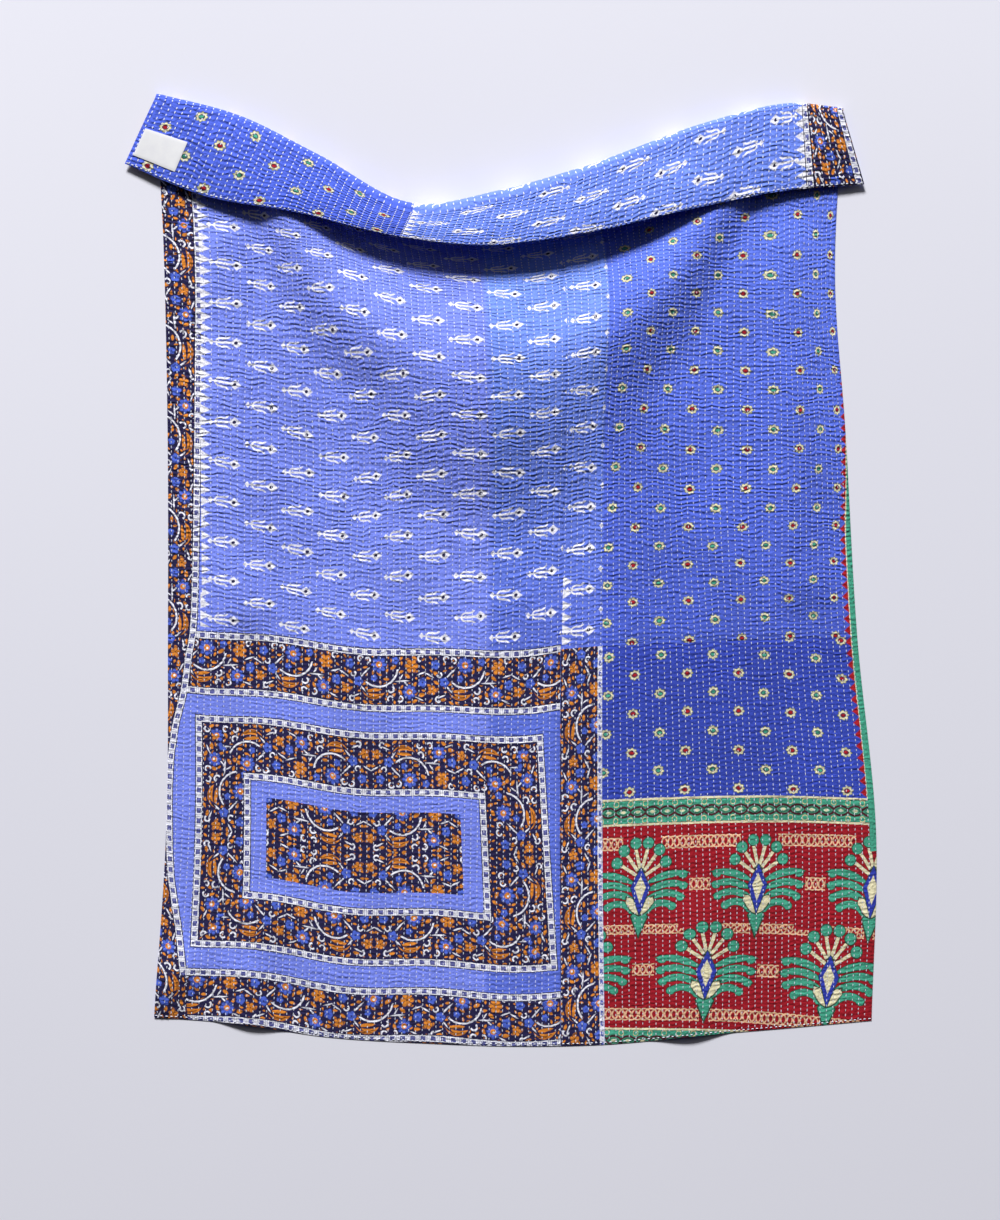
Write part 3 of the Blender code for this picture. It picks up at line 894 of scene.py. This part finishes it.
DEEP_BLUE = "4C62D2"
UPPER_DEEP_BLUE = "6079EC"
CREAM = "E3DBB4"
DOT_RED = "A8141F"
SEA_GREEN = "43A286"
OUTLINE_GREEN = "23402F"
DOT_COLUMNS = (773, 823, 873, 925, 983, 1032, 1083, 1127, 1175, 1221, 1264, 1306)  # u of the columns at t 940
DOT_ROWS = (  # t of rows of red dots, and how many rows each lies above the lowest
    (601, -1), (679, 0), (875, 3), (1013, 5), (1156, 7), (1295, 9), (1434, 11), (1780, 16),
)
DOT_LEAN = ((0, -14), (745, -14), (940, 0), (1150, 9), (1365, 7), (1780, 7))  # sideways lean up the cloth
DOT_SWAY = (  # u of a column, and how far it strays sideways above t 1290
    (773, 0), (823, 6), (873, 11), (925, 8), (983, 0), (1032, -8), (1083, -13), (1130, -2), (1175, 5),
    (1221, 9), (1264, 5), (1306, 0),
)


def scalloped_dot(tree, local, green, ground):
    """Cream scalloped oval 21 by 17 mm, its outline, and a pointed red or green middle."""
    round_place = add(tree, "VectorMath", local, (1.0, 1.24, 1.0), operation="MULTIPLY")
    shape = flower(tree, round_place, 0, 0, 10.4, 8)[0]
    colour = printed(tree, ground, shape, linear("6F7A4A"), 0.06, 1.06)
    colour = printed(tree, colour, shape, linear(CREAM), 0.06, 0.92)
    centre = leaf(tree, local, 0, 0, 5.6, 4.0)
    colour = printed(tree, colour, centre, linear("2A2350"), 0.08, 1.05)
    tint = add(tree, "Mix", green, linear(DOT_RED), linear(SEA_GREEN), data_type="RGBA")
    return printed(tree, colour, centre, tint, 0.1, 0.85)


def selvage(tree, u, t, colour):
    """Right edge of the sari: red teeth and a green selvage, which run out over the hem above t 860."""
    above = add(tree, "Math", t, -860.0, operation="ADD")
    above = add(tree, "Math", above, 0.0, operation="MAXIMUM")
    inwards = add(tree, "Math", above, -0.07, u, operation="MULTIPLY_ADD")
    step = add(tree, "Math", t, 10.1, operation="PINGPONG")
    tooth = add(tree, "Math", inwards, -1 / 12.0, 1278.0 / 12.0, operation="MULTIPLY_ADD")
    tooth = add(tree, "Math", step, 1 / 9.4, tooth, operation="MULTIPLY_ADD")
    colour = printed(tree, colour, tooth, linear(DOT_RED), 0.1)
    edge = add(tree, "Math", inwards, 1277.5, operation="GREATER_THAN")
    colour = add(tree, "Mix", edge, colour, linear(CREAM), data_type="RGBA")
    edge = add(tree, "Math", inwards, 1279.5, operation="GREATER_THAN")
    return add(tree, "Mix", edge, colour, linear(SEA_GREEN), data_type="RGBA")


def dotted_field(tree, place):
    """Deep blue with columns of dots, green and red by turns, that lean a little down the cloth."""
    u, t = split(tree, place)
    lean = bent(tree, t, 0.0, CLOTH_LENGTH, DOT_LEAN, -20.0, 20.0)
    column = add(tree, "Math", u, lean, operation="SUBTRACT")
    sway = bent(tree, column, DOT_COLUMNS[0], DOT_COLUMNS[-1], DOT_SWAY, -20.0, 20.0)
    high = add(tree, "MapRange", t, 950.0, 1290.0, 0.0, 1.0)
    sway = add(tree, "Math", sway, high, operation="MULTIPLY")
    column = add(tree, "Math", column, sway, operation="SUBTRACT")
    pairs = [(at, 50.0 * index) for index, at in enumerate(DOT_COLUMNS)]
    column = bent(tree, column, DOT_COLUMNS[0], DOT_COLUMNS[-1], pairs, 0.0, 550.0)
    row = bent(tree, t, DOT_ROWS[0][0], DOT_ROWS[-1][0], DOT_ROWS, -1.0, 16.0)
    row = add(tree, "Math", row, 69.0, operation="MULTIPLY")
    straight = add(tree, "CombineXYZ", column, row, 0.0)
    local, odd, _ = cells(tree, straight, (0.0, 0.0), (50.0, 69.0), -34.5, 1.2, 0.15)
    # The deep blue ground turns lighter from t 700 up to t 1400
    high = add(tree, "MapRange", t, 700.0, 1400.0, 0.0, 1.0)
    ground = add(tree, "Mix", high, linear(DEEP_BLUE), linear(UPPER_DEEP_BLUE), data_type="RGBA")
    return selvage(tree, u, t, scalloped_dot(tree, local, odd, ground))


upper_patch.data.materials.append(cotton("Deep blue dotted sari cotton", dotted_field))


# Lower right patch
# The end piece of a sari: dots on a deep blue field, a green band, and the red end with large palmettes.

LOWER_AREA = (801.5, WIDTH, 0.0, 675.0)
lower_patch = face_patch("Lower_right_face_patch", LOWER_AREA)

INK_BLUE = "3347B4"
END_RED = "9C0A1E"
PRINT_TURN = 0.056
TURN_ABOUT = (868.0, 265.0, 0.0)
PALM_START = (868.0, 262.0)
PALM_PITCH = (208.0, 150.0)
LOWER_SHIFT = (0.079, -57.9)  # share of u and constant: how far right of half a pitch the lower palms stand


def bar(tree, place, x, y, long, wide, turn):
    """How far out a place is from the middle of a straight bar, as a share of its half length and width."""
    local = add(tree, "Mapping", place, (x, y, 0), (0, 0, turn), (long, wide, 1), vector_type="TEXTURE")
    local = add(tree, "VectorMath", local, operation="ABSOLUTE")
    along, across = split(tree, local)
    return add(tree, "Math", along, across, operation="MAXIMUM")


def kite(tree, x, y, middle, top, bottom, half_width):
    """The same for a kite about the upright axis, with its widest part at a height."""
    up = add(tree, "Math", y, 1 / top, -middle / top, operation="MULTIPLY_ADD")
    down = add(tree, "Math", y, -1 / bottom, middle / bottom, operation="MULTIPLY_ADD")
    far = add(tree, "Math", up, down, operation="MAXIMUM")
    return add(tree, "Math", x, 1 / half_width, far, operation="MULTIPLY_ADD")


def interlaced_rings(tree, x, y):
    """1 on the lines of a 23 mm high band of interlaced rings, and 0 elsewhere."""
    total = None
    for shift in (0.0, 11.0):
        step = add(tree, "Math", x, shift, operation="ADD")
        step = add(tree, "Math", step, 11.0, -11.0, operation="WRAP")
        local = add(tree, "CombineXYZ", step, y, 0.0)
        length = add(tree, "VectorMath", local, operation="LENGTH")
        ring = add(tree, "Math", length, 9.9, 1.25, operation="COMPARE")
        total = ring if total is None else add(tree, "Math", total, ring, operation="MAXIMUM")
    return total


def palm_motif(tree, x, other_x, y, lower, ground):
    """Large palmette 160 by 165 mm: a kite with six ball-tipped spokes above and four fronds on each side.

    x counts from the nearest palmette in its own row, and other_x from the nearest one in the other row.
    """
    signed_x = x
    x = add(tree, "Math", x, operation="ABSOLUTE")
    other_x = add(tree, "Math", other_x, operation="ABSOLUTE")
    half = add(tree, "CombineXYZ", x, y, 0.0)
    other_half = add(tree, "CombineXYZ", other_x, y, 0.0)
    green, cream, dark = linear(SEA_GREEN), linear(CREAM), linear(OUTLINE_GREEN)

    # Bands of rings above and below, open at the balls and the stems of the row above, and short ones beside
    over = add(tree, "Math", y, 77.0, operation="SUBTRACT")
    under = add(tree, "Math", y, 77.0, operation="ADD")
    beside = add(tree, "Math", y, -3.0, operation="ADD")
    stem_gap = add(tree, "Math", lower, -8.0, other_x, operation="MULTIPLY_ADD")
    stem_gap = add(tree, "Math", stem_gap, 0.0, operation="GREATER_THAN")
    total = None
    for height, limit in ((over, 34.0), (under, 8.0), (beside, 86.0)):
        level = add(tree, "Math", height, 0.0, 11.8, operation="COMPARE")
        open_at = add(tree, "Math", x, limit, operation="GREATER_THAN")
        rings = add(tree, "Math", interlaced_rings(tree, signed_x, height), level, operation="MULTIPLY")
        rings = add(tree, "Math", rings, open_at, operation="MULTIPLY")
        if height is over:
            rings = add(tree, "Math", rings, stem_gap, operation="MULTIPLY")
        if height is under:
            far = add(tree, "Math", x, 70.0, operation="LESS_THAN")
            far = add(tree, "Math", far, lower, operation="MAXIMUM")
            rings = add(tree, "Math", rings, far, operation="MULTIPLY")
        total = rings if total is None else add(tree, "Math", total, rings, operation="MAXIMUM")
    colour = add(tree, "Mix", total, ground, linear("E3B791"), data_type="RGBA")

    stem_above = kite(tree, other_x, y, PALM_PITCH[1] - 52.0, 22.0, 37.0, 15.0)
    not_lower = add(tree, "Math", lower, -4.0, 4.0, operation="MULTIPLY_ADD")
    fronds = nearest(tree, [
        arc(tree, half, 60.0, -42.0, 64.5, 6.2, 1.816, 0.464),
        arc(tree, half, 53.1, -50.3, 55.8, 6.0, 1.71, 0.542),
        arc(tree, half, 45.8, -54.5, 43.5, 6.0, 1.609, 0.655),
        arc(tree, half, 38.3, -58.8, 30.3, 6.0, 1.841, 0.935),
        oval(tree, half, 74, 21, 8.0, 6.9),
        oval(tree, half, 75, 1, 7.6, 6.8),
        oval(tree, half, 71, -19, 7.4, 6.8),
        oval(tree, half, 57, -35, 7.2, 6.8),
        kite(tree, x, y, -52.0, 22.0, 37.0, 15.0),
        add(tree, "Math", not_lower, stem_above, operation="ADD"),
    ])
    colour = printed(tree, colour, fronds, dark, 0.03, 1.12)
    colour = printed(tree, colour, fronds, green, 0.05, 0.94)
    ball_below = oval(tree, other_half, 11, 77 - PALM_PITCH[1], 9.6, 9.6)
    balls = nearest(tree, [
        oval(tree, half, 11, 77, 9.6, 9.6),
        oval(tree, half, 31, 65, 9.6, 9.6),
        oval(tree, half, 43, 44, 9.6, 9.6),
        add(tree, "Math", lower, 4.0, ball_below, operation="MULTIPLY_ADD"),
    ])
    spokes = nearest(tree, [
        bar(tree, half, 6.5, 52, 19, 2.9, 1.32),
        bar(tree, half, 17.5, 46, 20, 2.9, 0.95),
        bar(tree, half, 23, 32, 19, 2.9, 0.60),
        leaf(tree, half, 12.5, -33, 19, 6.6, 0.98),
        oval(tree, half, 17.5, -25, 7.4, 7.0),
    ])
    colour = printed(tree, colour, spokes, dark, 0.04, 1.12)
    colour = printed(tree, colour, spokes, cream, 0.06, 0.96)
    colour = printed(tree, colour, balls, dark, 0.03, 1.12)
    colour = printed(tree, colour, balls, green, 0.04, 0.96)
    outer = kite(tree, x, y, 0.0, 36.0, 50.0, 17.5)
    colour = printed(tree, colour, outer, dark, 0.02, 1.06)
    colour = printed(tree, colour, outer, linear("2C3AA8"), 0.03, 0.98)
    return printed(tree, colour, outer, cream, 0.04, 0.56)


def chain_band(tree, along, up):
    """Green band 46 mm high: cream and dark edge lines, and a chain of pointed ovals 26 mm apart."""
    off = add(tree, "Math", up, operation="ABSOLUTE")
    step = add(tree, "Math", along, 13.0, -13.0, operation="WRAP")
    local = add(tree, "CombineXYZ", step, off, 0.0)
    half_step = add(tree, "Math", step, operation="ABSOLUTE")
    corner = add(tree, "CombineXYZ", half_step, off, 0.0)
    hoop = arc(tree, corner, 13, 14, 4.6, 0.75, 0.0, 3.1)
    colour = printed(tree, linear(SEA_GREEN), hoop, linear("D8C896"), 0.2)
    link = leaf(tree, local, 0, 0, 15.5, 9.0)
    colour = printed(tree, colour, link, linear("4A1220"), 0.05, 1.06)
    colour = printed(tree, colour, link, linear(SEA_GREEN), 0.05, 0.84)
    inner = leaf(tree, local, 0, 0, 9.0, 4.6)
    colour = printed(tree, colour, inner, linear("2F6B50"), 0.05, 1.06)
    colour = printed(tree, colour, inner, linear("5CB498"), 0.05, 0.86)
    colour = printed(tree, colour, leaf(tree, local, 0, 0, 4.8, 2.4), linear(CREAM), 0.1)
    dark = add(tree, "Math", off, 18.6, operation="GREATER_THAN")
    colour = add(tree, "Mix", dark, colour, linear("3A2A2C"), data_type="RGBA")
    cream = add(tree, "Math", off, 19.4, operation="GREATER_THAN")
    return add(tree, "Mix", cream, colour, linear(CREAM), data_type="RGBA")


def end_piece(tree, place):
    """Dots above, the green chain band from t 415 to 369, and the red end with its palmettes below."""
    turned = add(tree, "VectorRotate", place, TURN_ABOUT, PRINT_TURN, rotation_type="Z_AXIS")
    u, t = split(tree, turned)

    # The cloth was sewn in a little out of true: its print arches across and sags to the right below
    arch = add(tree, "Math", u, float(np.pi) / 489.0, -float(np.pi) * 801.0 / 489.0, operation="MULTIPLY_ADD")
    arch = add(tree, "Math", arch, operation="SINE")
    t = add(tree, "Math", arch, -8.0, t, operation="MULTIPLY_ADD")
    low = add(tree, "MapRange", t, 0.0, 300.0, 0.086, 0.0)
    sag = add(tree, "Math", u, 1000.0, operation="SUBTRACT")
    t = add(tree, "Math", sag, low, t, operation="MULTIPLY_ADD")
    sewn = add(tree, "CombineXYZ", u, t, 0.0)
    local, odd, _ = cells(tree, sewn, (842.0, 492.0), (49.0, 65.0), 32.5, 1.2, 0.15)
    dots = scalloped_dot(tree, local, odd, linear(INK_BLUE))
    true_u, true_t = split(tree, place)
    dots = selvage(tree, true_u, true_t, dots)

    lower = add(tree, "Math", t, PALM_START[1] - PALM_PITCH[1] / 2, operation="LESS_THAN")
    up = add(tree, "Math", lower, PALM_PITCH[1], -PALM_START[1], operation="MULTIPLY_ADD")
    up = add(tree, "Math", up, t, operation="ADD")
    half_pitch = PALM_PITCH[0] / 2
    from_upper = add(tree, "Math", u, -PALM_START[0], operation="ADD")
    shift = add(tree, "Math", u, -LOWER_SHIFT[0], half_pitch - LOWER_SHIFT[1], operation="MULTIPLY_ADD")
    from_lower = add(tree, "Math", from_upper, shift, operation="ADD")
    from_upper = add(tree, "Math", from_upper, half_pitch, -half_pitch, operation="WRAP")
    from_lower = add(tree, "Math", from_lower, half_pitch, -half_pitch, operation="WRAP")
    own = add(tree, "Mix", lower, from_upper, from_lower, data_type="FLOAT")
    other = add(tree, "Mix", lower, from_lower, from_upper, data_type="FLOAT")
    palms = palm_motif(tree, own, other, up, lower, linear(END_RED))
    band = chain_band(tree, u, add(tree, "Math", t, 392.0, operation="SUBTRACT"))
    hem_band = chain_band(tree, u, add(tree, "Math", t, -12.5, operation="SUBTRACT"))

    above = add(tree, "Math", t, 415.0, operation="GREATER_THAN")
    colour = add(tree, "Mix", above, band, dots, data_type="RGBA")
    below = add(tree, "Math", t, 369.0, operation="LESS_THAN")
    colour = add(tree, "Mix", below, colour, palms, data_type="RGBA")
    at_hem = add(tree, "Math", t, 10.5, operation="LESS_THAN")
    colour = add(tree, "Mix", at_hem, colour, hem_band, data_type="RGBA")
    edge = add(tree, "Math", true_u, 1278.5, operation="GREATER_THAN")
    high = add(tree, "Math", true_t, 300.0, operation="GREATER_THAN")
    edge = add(tree, "Math", edge, high, operation="MULTIPLY")
    return add(tree, "Mix", edge, colour, linear(SEA_GREEN), data_type="RGBA")


lower_patch.data.materials.append(cotton("Sari end piece cotton", end_piece))


# Backing cloth
# Two old saris joined side by side make the underside, which shows where the top end is folded over.

BACK_TOP = 0.7
BACK_SEAM = 487.0
BACK_STEP = 4.0


def back_patch(name, area):
    """A patch of the back over an area of the cloth, with relief only where it faces up."""
    left, right, low, high = area
    t_line = np.concatenate([steps(low, BODY_LENGTH - 50, 18.0), steps(BODY_LENGTH - 45, high, 5.0)])
    patch, u, t, side = flat_patch(name, row_lines(left, right, BACK_STEP), t_line)
    u = follow(u, t, area)
    rise = edge_rise(u, t, area)
    on_flap = ease((t - BODY_LENGTH) / BEND_LENGTH)
    under = 0.5 * (1 - rise) - QUILT_RELIEF * puff(u, t) * rise * on_flap
    set_cloth(patch, u, t, np.where(side > 0.5, BACK_TOP, under))
    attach(patch, "root")
    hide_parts("quilt")
    return patch


back_left = back_patch("Left_back_patch", (0.0, BACK_SEAM - 0.25, 0.0, CLOTH_LENGTH))
back_right = back_patch("Right_back_patch", (BACK_SEAM + 0.25, WIDTH, 0.0, CLOTH_LENGTH))


def back_dots(tree, place):
    """The same dotted print as on the face, from another sari, printed square."""
    local, odd, _ = cells(tree, place, (38.0, 1700.0), (51.0, 69.0), 34.5, 1.2, 0.15)
    return scalloped_dot(tree, local, odd, linear("4F67DE"))


def back_motifs(tree, place):
    """The motif sari, seen from behind the quilt, with its floral border at the right edge."""
    u, t = split(tree, place)
    mirrored = add(tree, "VectorMath", place, (-1, 1, 1), operation="MULTIPLY")
    field = tulip_motif(tree, mirrored, linear("6F8BF4"), (-526.5, 1704.0), (69.0, 69.0), 34.5, None)
    for base, sign in ((488.0, 1.0), (1190.0, -1.0)):
        step = add(tree, "Math", t, 10.0, operation="PINGPONG")
        tooth = add(tree, "Math", u, -base, operation="ADD")
        tooth = add(tree, "Math", tooth, sign / 18.0, operation="MULTIPLY")
        behind = add(tree, "Math", tooth, 0.0, operation="LESS_THAN")
        tooth = add(tree, "Math", step, 1 / 8.6, tooth, operation="MULTIPLY_ADD")
        tooth = add(tree, "Math", behind, 40.0, tooth, operation="MULTIPLY_ADD")
        field = printed(tree, field, tooth, linear(PRINT_WHITE), 0.1)
    across = add(tree, "Math", u, -1202.0, operation="ADD")
    border = floral_print(tree, add(tree, "CombineXYZ", t, across, 0.0), linear(NAVY))
    in_border = add(tree, "Math", u, 1196.0, operation="GREATER_THAN")
    colour = add(tree, "Mix", in_border, field, border, data_type="RGBA")
    first = add(tree, "Math", u, -1196.5, operation="ADD")
    first = add(tree, "Math", first, operation="ABSOLUTE")
    second = add(tree, "Math", u, -1282.0, operation="ADD")
    second = add(tree, "Math", second, operation="ABSOLUTE")
    off = add(tree, "Math", first, second, operation="MINIMUM")
    return block_stripe(tree, t, off, colour)


back_left.data.materials.append(cotton("Dotted backing cotton", back_dots))
back_right.data.materials.append(cotton("Motif backing cotton", back_motifs))


# Running stitches
# White cotton thread run by hand through all the layers, in rows 12 mm apart from hem to hem. It is drawn
# thicker than quilting thread usually is, so that the stitches show from the camera. Each is 4.6 mm long.

STITCH_LENGTH = 4.6
STITCH_WIDTH = 2.4
STITCH_THICKNESS = 1.3
STITCH_RISE = 0.35
chances = np.random.default_rng(7)


def stitch_rows(name, first, row_count, low, high, height, crosswise=False):
    """Rows of stitches in one piece, from low to high along the cloth or, if crosswise, across it."""
    count = int((high - low) / STITCH_PITCH) + 1
    slack = high - low - (count - 1) * STITCH_PITCH
    shape = bmesh.new()
    bmesh.ops.create_uvsphere(shape, u_segments=3, v_segments=3, radius=0.5)
    turn = Matrix.Rotation(np.pi / 2, 4, "X")
    bmesh.ops.transform(shape, matrix=turn, verts=shape.verts[:])
    bmesh.ops.scale(shape, vec=(STITCH_WIDTH, STITCH_LENGTH, STITCH_THICKNESS), verts=shape.verts[:])
    one = bpy.data.meshes.new(name + " one")
    shape.to_mesh(one)
    shape.free()
    rows = bpy.data.objects.new(name, one)
    bpy.context.scene.collection.objects.link(rows)
    for offset, copies in (((0, STITCH_PITCH, 0), count), ((ROW_PITCH, 0, 0), row_count)):
        array = rows.modifiers.new("Copies", "ARRAY")
        array.count = copies
        array.use_relative_offset = False
        array.use_constant_offset = True
        array.constant_offset_displace = offset
    graph = bpy.context.evaluated_depsgraph_get()
    rows.data = bpy.data.meshes.new_from_object(rows.evaluated_get(graph))
    rows.modifiers.clear()
    places = np.empty(len(rows.data.vertices) * 3, np.float32)
    rows.data.vertices.foreach_get("co", places)
    places = places.reshape(-1, 3).astype(float)
    number = np.arange(len(places)) // len(one.vertices)
    row, column = number // count, number % count
    middle_u = row * ROW_PITCH
    middle_t = column * STITCH_PITCH
    start = low + chances.uniform(0, slack, row_count)[row]
    slip = chances.normal(0, 0.55, row_count * count)[number]
    stretch = chances.normal(1, 0.09, row_count * count)[number]
    along = start + middle_t + slip + (places[:, 1] - middle_t) * stretch
    beside = places[:, 0] - middle_u
    if crosswise:
        relief = np.sign(height) * 0.75 * QUILT_RELIEF * puff(along, first)
        set_cloth(rows, along, first - beside, height + relief + places[:, 2])
    else:
        row_u = first + middle_u
        set_cloth(rows, row_u - wander(row_u, along) + beside, along, height + places[:, 2])
    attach(rows, "root")
    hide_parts("quilt")
    return rows


ROW_COUNT = int(WIDTH / ROW_PITCH)
HALF_ROWS = 54
BODY_STITCHES = (4.0, BODY_LENGTH + 14.0)
ON_FACE = FACE_TOP + STITCH_RISE
HALF_WAY = 6.0 + HALF_ROWS * ROW_PITCH
HEM_ENDS = (4.0, WIDTH - 4.0)
stitch_pieces = [
    stitch_rows("Left_stitches", 6.0, HALF_ROWS, *BODY_STITCHES, ON_FACE),
    stitch_rows("Right_stitches", HALF_WAY, ROW_COUNT - HALF_ROWS, *BODY_STITCHES, ON_FACE),
    stitch_rows("Flap_stitches", 6.0, ROW_COUNT, BODY_LENGTH - 6.0, CLOTH_LENGTH - 4.0, -STITCH_RISE),
    stitch_rows("Hem_stitches", 3.4, 1, *HEM_ENDS, ON_FACE - 0.25, crosswise=True),
    stitch_rows("Top_hem_stitches", CLOTH_LENGTH - 3.4, 1, *HEM_ENDS, -STITCH_RISE, crosswise=True),
]

# White cotton quilting thread: soft and twisted, its twist a wave across the stitch
thread, thread_tree, thread_shader = matte("White cotton quilting thread", 0.7, 0.3)
thread_place = add(thread_tree, "Attribute", attribute_name="cloth").node.outputs["Vector"]
thread_tone = add(thread_tree, "TexNoise", thread_place, 0.05, 1.0, 0.5)
thread_colour = add(thread_tree, "Mix", thread_tone, linear("DCE2FA"), linear("F6F7FF"), data_type="RGBA")
thread_tree.links.new(thread_colour, thread_shader.inputs["Base Color"])
thread_twist = add(thread_tree, "Mapping", thread_place, (0, 0, 0), (0, 0, 0.8), (1.0, 1.0, 1.0))
thread_twist = add(thread_tree, "TexWave", thread_twist, 0.9, 0.5, 1.0, wave_type="BANDS")
thread_bump = add(thread_tree, "Bump", 0.4, 0.3 * MILLIMETRE, None, thread_twist)
thread_tree.links.new(thread_bump, thread_shader.inputs["Normal"])
for stitches in stitch_pieces:
    stitches.data.materials.append(thread)


# Woven label
# A blank piece of white cotton tape, 77 by 50 mm, sewn by its edges to the back of the cloth near a corner.

LABEL_AREA = (7.5, 84.5, 1711.0, 1761.0)
LABEL_UNDER = -1.45
LABEL_TOP = -2.3
label_lines = [steps(*LABEL_AREA[:2], 2.5), steps(*LABEL_AREA[2:], 2.5)]
label, label_u, label_t, label_side = flat_patch("Woven_label", *label_lines)
label_rise = edge_rise(label_u, label_t, LABEL_AREA, 3.0)
label_height = np.where(label_side > 0.5, LABEL_UNDER, LABEL_TOP + 0.45 * (1 - label_rise))
set_cloth(label, label_u, label_t, label_height)
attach(label, "root")
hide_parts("label")

# White woven cotton tape, clean and dull
tape, tape_tree, tape_shader = matte("White woven cotton tape", 0.8, 0.25)
tape_place = add(tape_tree, "Attribute", attribute_name="cloth").node.outputs["Vector"]
tape_cloud = add(tape_tree, "TexNoise", tape_place, 0.06, 2.0, 0.5)
tape_tone = add(tape_tree, "Mix", tape_cloud, linear("E4E4EA"), linear("F4F4F4"), data_type="RGBA")
tape_tree.links.new(tape_tone, tape_shader.inputs["Base Color"])

# The weave is drawn at 1 mm, coarser than real tape, which would not show at this distance
weave_u, weave_t = split(tape_tree, tape_place)
weave_u = add(tape_tree, "Math", weave_u, 1.0, operation="PINGPONG")
weave_u = add(tape_tree, "Math", weave_u, 0.5, operation="SUBTRACT")
weave_t = add(tape_tree, "Math", weave_t, 1.0, operation="PINGPONG")
weave_t = add(tape_tree, "Math", weave_t, 0.5, operation="SUBTRACT")
weave = add(tape_tree, "Math", weave_u, weave_t, operation="MULTIPLY")
tape_bump = add(tape_tree, "Bump", 0.5, 0.4 * MILLIMETRE, None, weave)
tape_tree.links.new(tape_bump, tape_shader.inputs["Normal"])
label.data.materials.append(tape)
